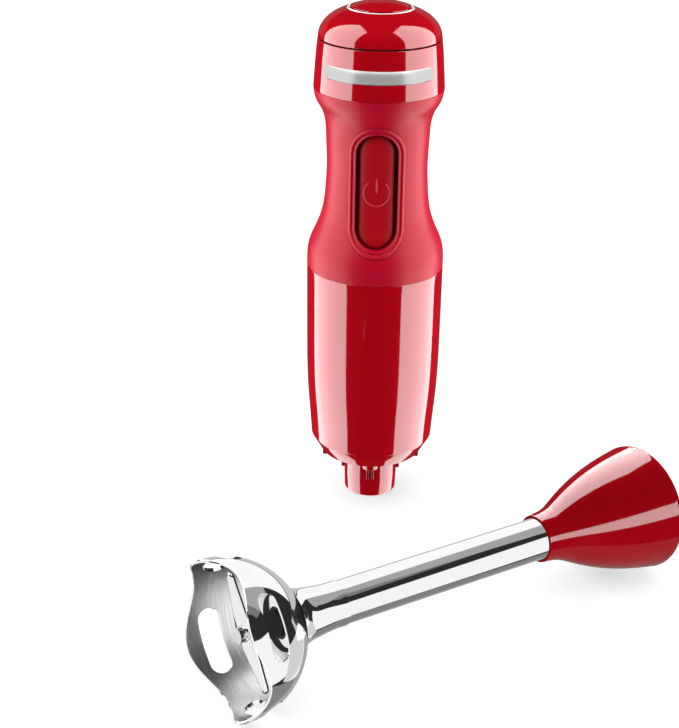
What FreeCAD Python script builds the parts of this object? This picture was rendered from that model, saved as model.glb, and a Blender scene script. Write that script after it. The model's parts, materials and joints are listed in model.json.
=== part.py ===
import FreeCAD, Part
import math
import os

# Immersion blender: a motor unit standing on its coupling spigot, and the
# detached blending arm lying beside it. Units are millimetres, +Z is up.
# The origin is the centre of the spigot's end face, the power button faces -Y.

# ---- motor unit, outside ----
SPIGOT_R = 12.2            # outside radius of the spigot that plugs into the arm
SPIGOT_LENGTH = 22.0
SPIGOT_WALL = 2.2
PILOT_LENGTH = 9.0         # plain end of the spigot, below the pins
PILOT_STEP = 0.3           # the pilot is this much smaller in radius than the spigot
BASE_R = 23.4              # lower edge of the chamfered base
BARREL_BASE_R = 27.9       # barrel at its lower corner
BARREL_BASE_Z = 29.5
BARREL_TOP_R = 30.4        # barrel at the seam with the grip
LOWER_SEAM_Z = 113.8       # barrel to grip
WAIST_R = 22.0             # narrowest part of the grip
WAIST_Z = 160.5
BAND_R = 28.1              # band at the seam with the grip
UPPER_SEAM_Z = 193.9       # grip to band
BAND_TOP_R = 26.4
BAND_TOP_Z = 215.1
DIAL_TOP_Z = 230.3
SHELL_WALL = 2.2
SEAM_LIP = 5.0             # length of the stepped lip that joins two shells
SEAM_LIP_WALL = 1.5

# share of the way from seam to waist, share of the widening kept
LOWER_FLARE = [(0.0, 1.0), (0.12, 0.988), (0.225, 0.88), (0.35, 0.59), (0.474, 0.32), (0.6, 0.155),
               (0.77, 0.055)]
UPPER_FLARE = [(0.66, 0.07), (0.43, 0.165), (0.26, 0.475), (0.145, 0.83), (0.0, 1.0)]

# ---- twist-lock details on the spigot ----
PIN_R = 1.6
PIN_PROUD = 1.5
PIN_Z = 11.2
RIB_WIDTH = 1.3
RIB_SPACE = 0.9
RIB_PROUD = 0.8
BOSS_R = 3.9
LUG_LOW_Z = 17.5
LUG_OUTER_R = 22.6
LUG_INNER_R = 18.7
LUG_HALF_ANGLE = 9.0

# ---- power button ----
BEZEL_WIDTH = 24.4
BEZEL_LOW_Z = 125.5
BEZEL_HIGH_Z = 182.0
BEZEL_RIM = 3.2            # width of the rim around the button
BEZEL_PROUD = 0.7          # rim above the grip's surface
BEZEL_DEPTH = 5.0          # how far the bezel reaches in from the surface
BUTTON_GAP = 0.35
BUTTON_RECESS = 1.2        # button face below the grip's surface
BUTTON_THICKNESS = 3.0
BUTTON_TRAVEL = 2.5
BUTTON_STEM_R = 2.6
BUTTON_STEM_LENGTH = 4.0
STEM_CLEARANCE = 0.4       # stem to switch plunger at full travel
SPRING_WIRE_R = 0.4

# ---- dial ----
DIAL_GAP = 0.4
DIAL_WALL = 2.0
TRIM_RING_R = 13.6
TRIM_RING_WIRE_R = 1.1
DIAL_STEM_R = 3.0

# ---- motor ----
SHAFT_R = 3.5
RUNNING_GAP = 0.05
BEARING_R = 9.5
BEARING_WIDTH = 6.0
BEARING_CUP_WALL = 2.0
STATOR_R = 24.5
STATOR_RING = 4.5
STATOR_LENGTH = 34.0
STATOR_LOW_Z = 58.0
AIR_GAP = 0.5
ARMATURE_R = 14.7
ARMATURE_SLOTS = 12
COIL_OVERHANG = 4.5
FAN_R = 19.6
FAN_HEIGHT = 8.0
FAN_BLADES = 11
COMMUTATOR_R = 8.5
COMMUTATOR_LENGTH = 9.0
BRUSH_GAP = 0.3
BRUSH_WIDTH = 5.0
BRUSH_HEIGHT = 7.0
BRUSH_LENGTH = 8.0
MOTOR_SCREW_R = 1.5
MOTOR_SCREW_CLEARANCE = 0.15
MOTOR_SCREW_COUNT = 4
DRIVE_DOG_R = 7.4
DRIVE_DOG_TEETH = 6
DRIVE_DOG_LOW_Z = 4.0
DRIVE_DOG_LENGTH = 15.0

# ---- blending arm ----
BELL_R = 31.0
BELL_WALL = 1.2
RIM_WAVE = 2.7             # half the height of the rim's four waves
RIM_LOBE_ANGLE = 54.0      # one lobe's direction about the arm's axis, degrees
LOBES = 4
SLOT_LENGTH = 25.5
SLOT_HEIGHT = 8.0
SLOT_FROM_RIM = 8.0
NECK_FOOT_R = 13.4
NECK_R = 9.1
NECK_END = 50.0            # from the bell's rim plane
TUBE_R = 8.7
TUBE_WALL = 0.8
TUBE_INSERT = 6.0
COLLAR_START = 147.0       # lip of the collar, from the rim plane
COLLAR_LIP_R = 10.0
COLLAR_R = 26.7
COLLAR_WIDEST = 203.0
COLLAR_END = 206.4
COLLAR_WALL = 2.4
SOCKET_GAP = 0.15          # spigot to socket
SOCKET_WALL = 2.2
DRIVE_SHAFT_R = 3.0
BLADE_TIP_R = 23.3
BLADE_WIDTH = 10.0
BLADE_TIP_WIDTH = 4.6
BLADE_THICKNESS = 1.2
BLADE_DEPTH = 8.1          # blade behind the rim plane
BLADE_SWEEP = 3.0          # degrees the wings lean back from the rim plane
BLADE_ANGLE = 52.0
HUB_R = 2.9

# ---- where the arm lies ----
ARM_YAW = 34.1             # direction from bell to collar, degrees from +X
RIM_CENTRE_X = -52.3
RIM_CENTRE_Y = -175.5

V = FreeCAD.Vector
AXIS = V(0, 0, 1)
ORIGIN = V(0, 0, 0)

os.makedirs("parts", exist_ok=True)


# ---------------------------------------------------------------- shapes
def save(name, shape):
    """Write one piece, checked to be whole."""
    solids = shape.Solids
    assert solids and shape.isValid(), name
    body = solids[0] if len(solids) == 1 else Part.makeCompound(solids)
    body.exportStep("parts/%s.step" % name)
    print("%-20s %2d solid(s) %9.1f mm3" % (name, len(solids), sum(s.Volume for s in solids)))


def rod(radius, low, high):
    return Part.makeCylinder(radius, high - low, V(0, 0, low))


def tube(outer, inner, low, high):
    return rod(outer, low, high).cut(rod(inner, low - 1, high + 1))


def line(a, b):
    return Part.makeLine(V(a[0], 0, a[1]), V(b[0], 0, b[1]))


def curve(points):
    spline = Part.BSplineCurve()
    spline.interpolate([V(r, 0, z) for r, z in points])
    return spline.toShape()


def turned(*edges):
    """Solid of revolution about Z from edges in the XZ half plane."""
    wire = Part.Wire(Part.__sortEdges__(list(edges)))
    return Part.Face(wire).revolve(ORIGIN, AXIS, 360)


def turned_polygon(points):
    corners = list(points)
    pairs = zip(corners, corners[1:] + corners[:1])
    return turned(*[line(a, b) for a, b in pairs])


def shifted(points, by):
    return [(r + by, z) for r, z in points]


def under_curve(points):
    """Solid between the axis and an outline given from bottom to top."""
    low, high = points[0], points[-1]
    edges = [curve(points), line((0, low[1]), low), line((0, high[1]), (0, low[1]))]
    if high[0] > 0:
        edges.append(line(high, (0, high[1])))
    return turned(*edges)


def stack(*pieces):
    whole = pieces[0]
    for piece in pieces[1:]:
        whole = whole.fuse(piece)
    return whole.removeSplitter()


def around(shape, count, start=0.0):
    """Copies of a shape spread evenly about Z."""
    copies = []
    for k in range(count):
        copy = shape.copy()
        copy.rotate(ORIGIN, AXIS, start + k * 360.0 / count)
        copies.append(copy)
    return copies


def sector(outer, inner, low, high, start, end):
    """Part of a ring between two angles in degrees."""
    ring = Part.makeCylinder(outer, high - low, V(0, 0, low), AXIS, end - start)
    ring.rotate(ORIGIN, AXIS, start)
    return ring.cut(rod(inner, low - 1, high + 1))


def pill_prism(width, low, high, front, back):
    """Upright pill outline in the XZ plane, extruded along Y."""
    r = width / 2
    top = Part.Arc(V(-r, front, high - r), V(0, front, high), V(r, front, high - r)).toShape()
    bottom = Part.Arc(V(r, front, low + r), V(0, front, low), V(-r, front, low + r)).toShape()
    right = Part.makeLine(V(r, front, high - r), V(r, front, low + r))
    left = Part.makeLine(V(-r, front, low + r), V(-r, front, high - r))
    return Part.Face(Part.Wire([top, right, bottom, left])).extrude(V(0, back - front, 0))


def box(x0, x1, y0, y1, z0, z1):
    return Part.makeBox(x1 - x0, y1 - y0, z1 - z0, V(x0, y0, z0))


def coil_spring(radius, wire, length, turns):
    """Round-wire spring along +Z from the origin."""
    rise = (length - 2 * wire) / turns
    helix = Part.makeHelix(rise, rise * turns, radius)
    section = Part.Wire(Part.makeCircle(wire, V(radius, 0, 0), V(0, 1, 0)))
    spring = Part.Wire(helix).makePipeShell([section], True, True)
    spring.translate(V(0, 0, wire))
    return spring


# ---------------------------------------------------------------- motor unit outline
def barrel_outline():
    rise = LOWER_SEAM_Z - BARREL_BASE_Z
    swell = BARREL_TOP_R - BARREL_BASE_R
    shares = [(0.0, 0.0), (0.1, 0.24), (0.27, 0.68), (0.6, 0.96), (1.0, 1.0)]
    return [(BARREL_BASE_R + swell * s, BARREL_BASE_Z + rise * t) for t, s in shares]


def grip_outline():
    points = []
    for along, kept in LOWER_FLARE:
        z = LOWER_SEAM_Z + along * (WAIST_Z - LOWER_SEAM_Z)
        points.append((WAIST_R + kept * (BARREL_TOP_R - WAIST_R), z))
    points.append((WAIST_R, WAIST_Z))
    for along, kept in UPPER_FLARE:
        z = UPPER_SEAM_Z - along * (UPPER_SEAM_Z - WAIST_Z)
        points.append((WAIST_R + kept * (BAND_R - WAIST_R), z))
    return points


def band_outline():
    height = BAND_TOP_Z - UPPER_SEAM_Z
    slope = BAND_R - BAND_TOP_R
    shares = [(0.0, 0.0), (0.33, 0.27), (0.7, 0.62), (1.0, 1.0)]
    return [(BAND_R - slope * s, UPPER_SEAM_Z + height * t) for t, s in shares]


DIAL_LOW_Z = BAND_TOP_Z + DIAL_GAP
DIAL_R = BAND_TOP_R - 0.1


def dial_outline():
    """Dome from its lower edge to the top of the cap."""
    height = DIAL_TOP_Z - DIAL_LOW_Z
    shares = [(1.0, 0.0), (0.985, 0.16), (0.925, 0.37), (0.77, 0.62), (0.535, 0.81), (0.3, 0.945)]
    return [(DIAL_R * s, DIAL_LOW_Z + height * t) for s, t in shares] + [(0.0, DIAL_TOP_Z)]


# ---------------------------------------------------------------- coupling end
def coupling_base():
    """Chamfered base with the hollow spigot that plugs into the arm."""
    lip_r = BARREL_BASE_R - SHELL_WALL
    floor_z = SPIGOT_LENGTH + SHELL_WALL
    bore = SPIGOT_R - SPIGOT_WALL
    pilot_r = SPIGOT_R - PILOT_STEP
    cup = turned_polygon([
        (bore, 0), (pilot_r, 0), (pilot_r, PILOT_LENGTH), (SPIGOT_R, PILOT_LENGTH),
        (SPIGOT_R, SPIGOT_LENGTH), (BASE_R, SPIGOT_LENGTH),
        (BARREL_BASE_R - 0.2, BARREL_BASE_Z), (lip_r, BARREL_BASE_Z), (lip_r, BARREL_BASE_Z + SEAM_LIP),
        (lip_r - SEAM_LIP_WALL, BARREL_BASE_Z + SEAM_LIP), (lip_r - SEAM_LIP_WALL, BARREL_BASE_Z),
        (BASE_R - SHELL_WALL, floor_z), (bore, floor_z)])
    boss = Part.makeCylinder(BOSS_R, SPIGOT_LENGTH - LUG_LOW_Z, V(0, -SPIGOT_R - 0.6, LUG_LOW_Z))
    pieces = [cup, boss.cut(rod(bore + 0.5, 0, SPIGOT_LENGTH))]
    for side in (-1, 1):
        x = side * (RIB_WIDTH + RIB_SPACE) / 2
        pieces.append(box(x - RIB_WIDTH / 2, x + RIB_WIDTH / 2, -SPIGOT_R - RIB_PROUD, -SPIGOT_R + 1.0,
                          PILOT_LENGTH + 0.5, LUG_LOW_Z + 0.1))
        pin_start = V(side * (SPIGOT_R - 1.0), 0, PIN_Z)
        pieces.append(Part.makeCylinder(PIN_R, PIN_PROUD + 1.0, pin_start, V(side, 0, 0)))
        middle = 0 if side > 0 else 180
        pieces.append(sector(LUG_OUTER_R, LUG_INNER_R, LUG_LOW_Z, SPIGOT_LENGTH + 0.5,
                             middle - LUG_HALF_ANGLE, middle + LUG_HALF_ANGLE))
    return stack(*pieces)


# ---------------------------------------------------------------- shells
BARREL_BORE = BARREL_BASE_R - SHELL_WALL
MOTOR_BAY_R = 27.6


def lower_shell():
    """Glossy barrel around the motor, open at both ends."""
    outer = barrel_outline()
    step_low = BARREL_BASE_Z + SEAM_LIP + 4.0
    step_high = step_low + 5.0
    top = (MOTOR_BAY_R, LOWER_SEAM_Z)
    inner = [(BARREL_BORE, BARREL_BASE_Z), (BARREL_BORE, step_low), (MOTOR_BAY_R, step_high), top]
    edges = [curve(outer), line(outer[0], inner[0]), line(outer[-1], top)]
    edges += [line(a, b) for a, b in zip(inner, inner[1:])]
    return turned(*edges)


def board_rails():
    """Grooved ribs inside the grip that hold the circuit board's edges."""
    edge = BOARD_WIDTH / 2
    rails = []
    for side in (-1, 1):
        low_x, high_x = sorted((side * (edge - 1.0), side * WAIST_R))
        rail = box(low_x, high_x, BOARD_Y - BOARD_RIB, BOARD_Y + BOARD_THICKNESS + BOARD_RIB,
                   WAIST_Z - 20, WAIST_Z + 10)
        rails.append(rail.common(grip_core(-SHELL_WALL + 0.5)).cut(circuit_board()))
    return rails


def grip_shell():
    """Satin waisted grip with the opening for the button bezel."""
    outer = grip_outline()
    inner = shifted(outer, -SHELL_WALL)
    skin = turned(curve(outer), curve(inner), line(outer[0], inner[0]), line(outer[-1], inner[-1]))
    lip_bore = MOTOR_BAY_R - SEAM_LIP_WALL
    lip = tube(MOTOR_BAY_R, lip_bore, LOWER_SEAM_Z - SEAM_LIP, LOWER_SEAM_Z)
    upper_lip_r = BAND_TOP_R - SHELL_WALL
    upper_lip = tube(upper_lip_r, upper_lip_r - SEAM_LIP_WALL, UPPER_SEAM_Z - 2.0, UPPER_SEAM_Z + SEAM_LIP)
    ledge = tube(BAND_R - SHELL_WALL + 0.4, upper_lip_r - SEAM_LIP_WALL, UPPER_SEAM_Z - 2.0, UPPER_SEAM_Z)
    lower_ledge = tube(BARREL_TOP_R - SHELL_WALL + 0.4, lip_bore, LOWER_SEAM_Z, LOWER_SEAM_Z + 2.0)
    whole = stack(skin, lip, lower_ledge, upper_lip, ledge, *board_rails())
    return whole.cut(pill_prism(BEZEL_WIDTH, BEZEL_LOW_Z, BEZEL_HIGH_Z, -BARREL_TOP_R - 2, -5))


def grip_core(by):
    return under_curve(shifted(grip_outline(), by))


BUTTON_WIDTH = BEZEL_WIDTH - 2 * BEZEL_RIM - 2 * BUTTON_GAP
BUTTON_LOW_Z = BEZEL_LOW_Z + BEZEL_RIM + BUTTON_GAP
BUTTON_HIGH_Z = BEZEL_HIGH_Z - BEZEL_RIM - BUTTON_GAP
BUTTON_MID_Z = (BEZEL_LOW_Z + BEZEL_HIGH_Z) / 2


def button_bezel():
    """Pill-shaped rim that follows the waist of the grip."""
    outline = pill_prism(BEZEL_WIDTH, BEZEL_LOW_Z, BEZEL_HIGH_Z, -BARREL_TOP_R - 2, -5)
    opening_low = BEZEL_LOW_Z + BEZEL_RIM
    opening_high = BEZEL_HIGH_Z - BEZEL_RIM
    opening = pill_prism(BEZEL_WIDTH - 2 * BEZEL_RIM, opening_low, opening_high, -BARREL_TOP_R - 3, -4)
    rim = outline.common(grip_core(BEZEL_PROUD)).cut(grip_core(-BEZEL_DEPTH))
    return rim.cut(opening)


def power_button():
    """Curved pill plate with the stem that presses the switch."""
    outline = pill_prism(BUTTON_WIDTH, BUTTON_LOW_Z, BUTTON_HIGH_Z, -BARREL_TOP_R - 2, -5)
    plate = outline.common(grip_core(-BUTTON_RECESS)).cut(grip_core(-BUTTON_RECESS - BUTTON_THICKNESS))
    stem_front = V(0, -WAIST_R + BUTTON_RECESS + 1.0, BUTTON_MID_Z)
    stem = Part.makeCylinder(BUTTON_STEM_R, BUTTON_STEM_LENGTH + 2.0, stem_front, V(0, 1, 0))
    return stack(plate, stem)


STEM_END_Y = -WAIST_R + BUTTON_RECESS + 1.0 + BUTTON_STEM_LENGTH + 2.0
SWITCH_TOP_Y = STEM_END_Y + BUTTON_TRAVEL + STEM_CLEARANCE
SWITCH_PLUNGER = 1.0
SWITCH_BODY_Y = SWITCH_TOP_Y + SWITCH_PLUNGER
SWITCH_DEPTH = 8.0
CARRIER_THICKNESS = 2.0
STEM_HOLE_GAP = 0.4


def micro_switch():
    body = box(-10, 10, SWITCH_BODY_Y, SWITCH_BODY_Y + SWITCH_DEPTH, BUTTON_MID_Z - 3.2, BUTTON_MID_Z + 3.2)
    plunger = box(-1.2, 1.2, SWITCH_TOP_Y, SWITCH_BODY_Y + 1, BUTTON_MID_Z - 1.5, BUTTON_MID_Z + 1.5)
    lugs = [box(x - 0.4, x + 0.4, SWITCH_BODY_Y + SWITCH_DEPTH - 1, SWITCH_BODY_Y + SWITCH_DEPTH + 1.5,
                BUTTON_MID_Z - 1.5, BUTTON_MID_Z + 1.5) for x in (-7, 0, 7)]
    return stack(body, plunger, *lugs)


CARRIER_LOW_Z = BUTTON_MID_Z - 17.0
CARRIER_HIGH_Z = BUTTON_MID_Z + 17.0


def switch_carrier():
    """Frame across the grip that holds the switch and seats the spring."""
    plate = box(-BARREL_TOP_R, BARREL_TOP_R, SWITCH_BODY_Y - CARRIER_THICKNESS, SWITCH_BODY_Y,
                CARRIER_LOW_Z, CARRIER_HIGH_Z).common(grip_core(-SHELL_WALL))
    window = Part.makeCylinder(BUTTON_STEM_R + STEM_HOLE_GAP, CARRIER_THICKNESS + 2,
                               V(0, SWITCH_BODY_Y - CARRIER_THICKNESS - 1, BUTTON_MID_Z), V(0, 1, 0))
    arms = []
    for z in (BUTTON_MID_Z - 6.2, BUTTON_MID_Z + 3.3):
        arms.append(box(-10, 10, SWITCH_BODY_Y - 0.5, SWITCH_BODY_Y + SWITCH_DEPTH, z, z + 2.9))
    return stack(plate, *arms).cut(window).cut(button_bezel())


def button_spring():
    """Spring round the stem, from the plate to the carrier."""
    low = SWITCH_BODY_Y - CARRIER_THICKNESS
    coil_r = BUTTON_STEM_R + 3 * SPRING_WIRE_R
    plate_back = WAIST_R - BUTTON_RECESS - BUTTON_THICKNESS
    high = -math.sqrt(plate_back ** 2 - (coil_r + SPRING_WIRE_R) ** 2) + 0.05
    spring = coil_spring(coil_r, SPRING_WIRE_R, low - high, 4)
    spring.rotate(ORIGIN, V(1, 0, 0), -90)
    spring.translate(V(0, high, BUTTON_MID_Z))
    return spring


# ---------------------------------------------------------------- band and dial
INLET_Z = (UPPER_SEAM_Z + BAND_TOP_Z) / 2
INLET_R = 4.6
INLET_FLANGE_R = 6.2
CORD_HOLE_R = 3.4
BAND_BORE = BAND_TOP_R - SHELL_WALL
BADGE_HALF_ANGLE = 54.0
BADGE_HEIGHT = 5.6
BADGE_MID_Z = INLET_Z - 0.4
BADGE_PROUD = 0.8


def band_core(by):
    return under_curve(shifted(band_outline(), by))


def band_ring():
    outer = band_outline()
    low, high = outer[0], outer[-1]
    skin = turned(curve(outer), line(low, (BAND_BORE, low[1])), line(high, (BAND_BORE, high[1])),
                  line((BAND_BORE, low[1]), (BAND_BORE, high[1])))
    inlet = Part.makeCylinder(INLET_R, 20, V(0, BAND_BORE - 10, INLET_Z), V(0, 1, 0))
    return skin.cut(inlet)


def badge_plate():
    """Blank badge strip round the front of the band."""
    low_z, high_z = BADGE_MID_Z - BADGE_HEIGHT / 2, BADGE_MID_Z + BADGE_HEIGHT / 2
    slope = (BAND_R - BAND_TOP_R) / (BAND_TOP_Z - UPPER_SEAM_Z)
    low_r = BAND_R + BADGE_PROUD - slope * (low_z - UPPER_SEAM_Z)
    high_r = low_r - slope * BADGE_HEIGHT
    inner_r = BAND_TOP_R - 1.0
    edges = [line((inner_r, low_z), (low_r, low_z)), line((low_r, low_z), (high_r, high_z)),
             line((high_r, high_z), (inner_r, high_z)), line((inner_r, high_z), (inner_r, low_z))]
    strip = Part.Face(Part.Wire(edges)).revolve(ORIGIN, AXIS, 2 * BADGE_HALF_ANGLE)
    strip.rotate(ORIGIN, AXIS, -90 - BADGE_HALF_ANGLE)
    return strip.cut(band_core(0.0))


def cord_gland():
    """Bush in the back of the band where the supply cord enters."""
    barrel = Part.makeCylinder(INLET_R, 9.0, V(0, BAND_BORE - 4.0, INLET_Z), V(0, 1, 0))
    flange_start = V(0, BAND_TOP_R - 2.0, INLET_Z)
    flange = Part.makeCylinder(INLET_FLANGE_R, BAND_R - BAND_TOP_R + 4.0, flange_start, V(0, 1, 0))
    flange = flange.cut(band_core(0))
    inner = Part.makeCylinder(INLET_FLANGE_R, 1.8, V(0, BAND_BORE - 4.0, INLET_Z), V(0, 1, 0))
    hole = Part.makeCylinder(CORD_HOLE_R, 30, V(0, BAND_BORE - 15, INLET_Z), V(0, 1, 0))
    return stack(barrel, flange, inner).cut(hole)


SELECTOR_R = 13.0
SELECTOR_HEIGHT = 8.0
SELECTOR_LOW_Z = UPPER_SEAM_Z + 2.0


def speed_selector():
    """Rotary switch that the dial's stem turns, on its round plate."""
    plate_r = BAND_TOP_R - SHELL_WALL - SEAM_LIP_WALL
    plate = rod(plate_r, SELECTOR_LOW_Z - 2.0, SELECTOR_LOW_Z)
    wire_way = box(-6, 6, 14, 40, SELECTOR_LOW_Z - 3, SELECTOR_LOW_Z + 1)
    body = rod(SELECTOR_R, SELECTOR_LOW_Z - 0.5, SELECTOR_LOW_Z + SELECTOR_HEIGHT)
    socket = rod(DIAL_STEM_R + RUNNING_GAP, SELECTOR_LOW_Z + 1.0, SELECTOR_LOW_Z + SELECTOR_HEIGHT + 1)
    return stack(plate, body).cut(socket).cut(wire_way)


TRIM_SEAT_R = TRIM_RING_R - TRIM_RING_WIRE_R
TRIM_Z = DIAL_LOW_Z + 0.80 * (DIAL_TOP_Z - DIAL_LOW_Z)


def dial_dome():
    return under_curve(dial_outline())


def speed_dial():
    """Domed cap that turns on its stem, with a seat for ring and disc."""
    dome = dial_dome()
    hollow_z = DIAL_LOW_Z + 5.0
    hollow = rod(DIAL_R - DIAL_WALL, DIAL_LOW_Z - 1, hollow_z)
    hollow = hollow.fuse(Part.makeCone(DIAL_R - DIAL_WALL, TRIM_SEAT_R - 3.0, 5.0, V(0, 0, hollow_z)))
    stem = rod(DIAL_STEM_R, SELECTOR_LOW_Z + 1.5, TRIM_Z - 1.0)
    hub = rod(DIAL_STEM_R + 2.5, SELECTOR_LOW_Z + SELECTOR_HEIGHT + 0.5, TRIM_Z - 1.0)
    seat = rod(TRIM_RING_R + TRIM_RING_WIRE_R, TRIM_Z - 1.1, DIAL_TOP_Z + 5)
    return stack(dome.cut(hollow), stem, hub).cut(seat)


def dial_trim_ring():
    """Bright ring set in the dome, with a flat underside."""
    low = TRIM_Z - 1.1
    outer = TRIM_RING_R + TRIM_RING_WIRE_R
    ring = tube(outer, TRIM_SEAT_R, low, TRIM_Z)
    crown = Part.makeTorus(TRIM_RING_R, TRIM_RING_WIRE_R, V(0, 0, TRIM_Z))
    return stack(ring, crown.cut(rod(outer + 2, TRIM_Z - 5, TRIM_Z)))


def dial_cap():
    """Domed disc inside the trim ring."""
    disc = dial_dome().common(rod(TRIM_SEAT_R, TRIM_Z - 1.1, DIAL_TOP_Z + 5))
    return disc.cut(Part.makeTorus(TRIM_RING_R, TRIM_RING_WIRE_R, V(0, 0, TRIM_Z)))


# ---------------------------------------------------------------- motor
STATOR_HIGH_Z = STATOR_LOW_Z + STATOR_LENGTH
POLE_BORE = ARMATURE_R + AIR_GAP
STATOR_RING_BORE = STATOR_R - STATOR_RING
POLE_SHOE = 2.2
COMMUTATOR_LOW_Z = STATOR_HIGH_Z + COIL_OVERHANG + 2.0
COMMUTATOR_HIGH_Z = COMMUTATOR_LOW_Z + COMMUTATOR_LENGTH
LOWER_BRACKET_Z = BARREL_BASE_Z + SEAM_LIP
BRACKET_PLATE = 2.5
UPPER_BRACKET_Z = COMMUTATOR_HIGH_Z + 1.0
UPPER_BEARING_R = 8.0
SCREW_CIRCLE_R = STATOR_R - STATOR_RING / 2
SHAFT_TOP_Z = UPPER_BRACKET_Z + BEARING_WIDTH + 1.5
FAN_LOW_Z = LOWER_BRACKET_Z + BEARING_WIDTH + 3.0


def motor_shaft():
    return rod(SHAFT_R, DRIVE_DOG_LOW_Z + 2.0, SHAFT_TOP_Z)


def drive_coupling():
    """Toothed dog on the lower end of the shaft."""
    high = DRIVE_DOG_LOW_Z + DRIVE_DOG_LENGTH
    core = rod(DRIVE_DOG_R - 1.8, DRIVE_DOG_LOW_Z, high)
    tooth = box(0, DRIVE_DOG_R, -1.2, 1.2, DRIVE_DOG_LOW_Z, high)
    nose = rod(DRIVE_DOG_R, DRIVE_DOG_LOW_Z, high)
    dog = stack(core, *around(tooth, DRIVE_DOG_TEETH)).common(nose)
    return dog.cut(rod(SHAFT_R, DRIVE_DOG_LOW_Z + 2.0, high + 1))


def armature_core():
    """Slotted stack of laminations."""
    stack_body = tube(ARMATURE_R, SHAFT_R, STATOR_LOW_Z, STATOR_HIGH_Z)
    slot = box(ARMATURE_R - 6.0, ARMATURE_R + 1, -0.9, 0.9, STATOR_LOW_Z - 1, STATOR_HIGH_Z + 1)
    for cut in around(slot, ARMATURE_SLOTS):
        stack_body = stack_body.cut(cut)
    return stack_body


def armature_windings():
    """End turns of the winding at both ends of the stack."""
    wide = ARMATURE_R - 1.2
    ends = []
    below = (STATOR_LOW_Z - COIL_OVERHANG, STATOR_LOW_Z)
    above = (STATOR_HIGH_Z, STATOR_HIGH_Z + COIL_OVERHANG)
    for low, high in (below, above):
        mid = (low + high) / 2
        ring = [(SHAFT_R + 2, low), (wide - 2, low), (wide, mid), (wide - 0.8, high), (SHAFT_R + 2, high)]
        if low > STATOR_LOW_Z:
            ring = [(SHAFT_R + 2, low), (wide - 0.8, low), (wide, mid), (wide - 2, high), (SHAFT_R + 2, high)]
        ends.append(turned_polygon(ring))
    return Part.makeCompound(ends)


def commutator():
    ring = tube(COMMUTATOR_R, SHAFT_R, COMMUTATOR_LOW_Z, COMMUTATOR_HIGH_Z)
    groove = box(COMMUTATOR_R - 0.8, COMMUTATOR_R + 1, -0.25, 0.25,
                 COMMUTATOR_LOW_Z + 1.2, COMMUTATOR_HIGH_Z + 1)
    for cut in around(groove, ARMATURE_SLOTS, 15):
        ring = ring.cut(cut)
    return ring


def cooling_fan():
    high = FAN_LOW_Z + FAN_HEIGHT
    hub = tube(SHAFT_R + 3.5, SHAFT_R, FAN_LOW_Z, high)
    disc = tube(FAN_R, SHAFT_R, high - 1.5, high)
    vane = box(SHAFT_R + 2, FAN_R - 0.5, -0.6, 0.6, FAN_LOW_Z, high - 0.5)
    vane.rotate(V(SHAFT_R + 2, 0, 0), AXIS, 18)
    vane = vane.common(rod(FAN_R - 0.5, FAN_LOW_Z, high))
    return stack(hub, disc, *around(vane, FAN_BLADES))


def screw_bars(radius, low, high):
    bar = Part.makeCylinder(radius, high - low, V(SCREW_CIRCLE_R, 0, low))
    return around(bar, MOTOR_SCREW_COUNT, 45)


def stator_core():
    """Ring of laminations with two poles."""
    ring = tube(STATOR_R, STATOR_RING_BORE, STATOR_LOW_Z, STATOR_HIGH_Z)
    pieces = [ring]
    for middle in (90, 270):
        for outer, half in ((POLE_BORE + POLE_SHOE, 52), (STATOR_RING_BORE + 0.5, 26)):
            pieces.append(sector(outer, POLE_BORE, STATOR_LOW_Z, STATOR_HIGH_Z, middle - half, middle + half))
    core = stack(*pieces)
    for hole in screw_bars(MOTOR_SCREW_R + MOTOR_SCREW_CLEARANCE, STATOR_LOW_Z - 1, STATOR_HIGH_Z + 1):
        core = core.cut(hole)
    return core


def field_coils():
    """One coil round each pole, showing past both ends of the stack."""
    inner = POLE_BORE + POLE_SHOE
    outer = STATOR_RING_BORE
    low = STATOR_LOW_Z - COIL_OVERHANG
    high = STATOR_HIGH_Z + COIL_OVERHANG
    coils = []
    for middle in (90, 270):
        sides = [sector(outer, inner, low, high, middle + a, middle + b) for a, b in ((-50, -27), (27, 50))]
        ends = [sector(outer, inner, a, b, middle - 50, middle + 50)
                for a, b in ((low, STATOR_LOW_Z - 0.3), (STATOR_HIGH_Z + 0.3, high))]
        coils.append(stack(*(sides + ends)))
    return Part.makeCompound(coils)


def vented_plate(low):
    """Round end plate with six air holes and the screw holes."""
    plate = rod(BARREL_BORE - 0.2, low, low + BRACKET_PLATE)
    vent = Part.makeCylinder(3.2, BRACKET_PLATE + 2, V(16.5, 0, low - 1))
    for hole in around(vent, 6):
        plate = plate.cut(hole)
    return plate


def lower_bracket():
    cup = rod(BEARING_R + BEARING_CUP_WALL, LOWER_BRACKET_Z, LOWER_BRACKET_Z + BEARING_WIDTH + 1.0)
    seat = rod(BEARING_R, LOWER_BRACKET_Z + 1.0, LOWER_BRACKET_Z + BEARING_WIDTH + 2.0)
    way = rod(SHAFT_R + 1.0, LOWER_BRACKET_Z - 1, LOWER_BRACKET_Z + 3)
    bosses = screw_bars(MOTOR_SCREW_R + 2.2, LOWER_BRACKET_Z + 1.0, STATOR_LOW_Z)
    bosses = [b.common(rod(BARREL_BORE - 0.2, LOWER_BRACKET_Z, STATOR_LOW_Z)) for b in bosses]
    fan_room = rod(FAN_R + 0.8, LOWER_BRACKET_Z + BRACKET_PLATE + 0.2, STATOR_LOW_Z + 1)
    legs = [b.cut(fan_room) for b in bosses]
    whole = stack(vented_plate(LOWER_BRACKET_Z), cup, *legs).cut(seat).cut(way)
    for hole in screw_bars(MOTOR_SCREW_R, LOWER_BRACKET_Z + 1.5, STATOR_LOW_Z + 1):
        whole = whole.cut(hole)
    return whole


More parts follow.
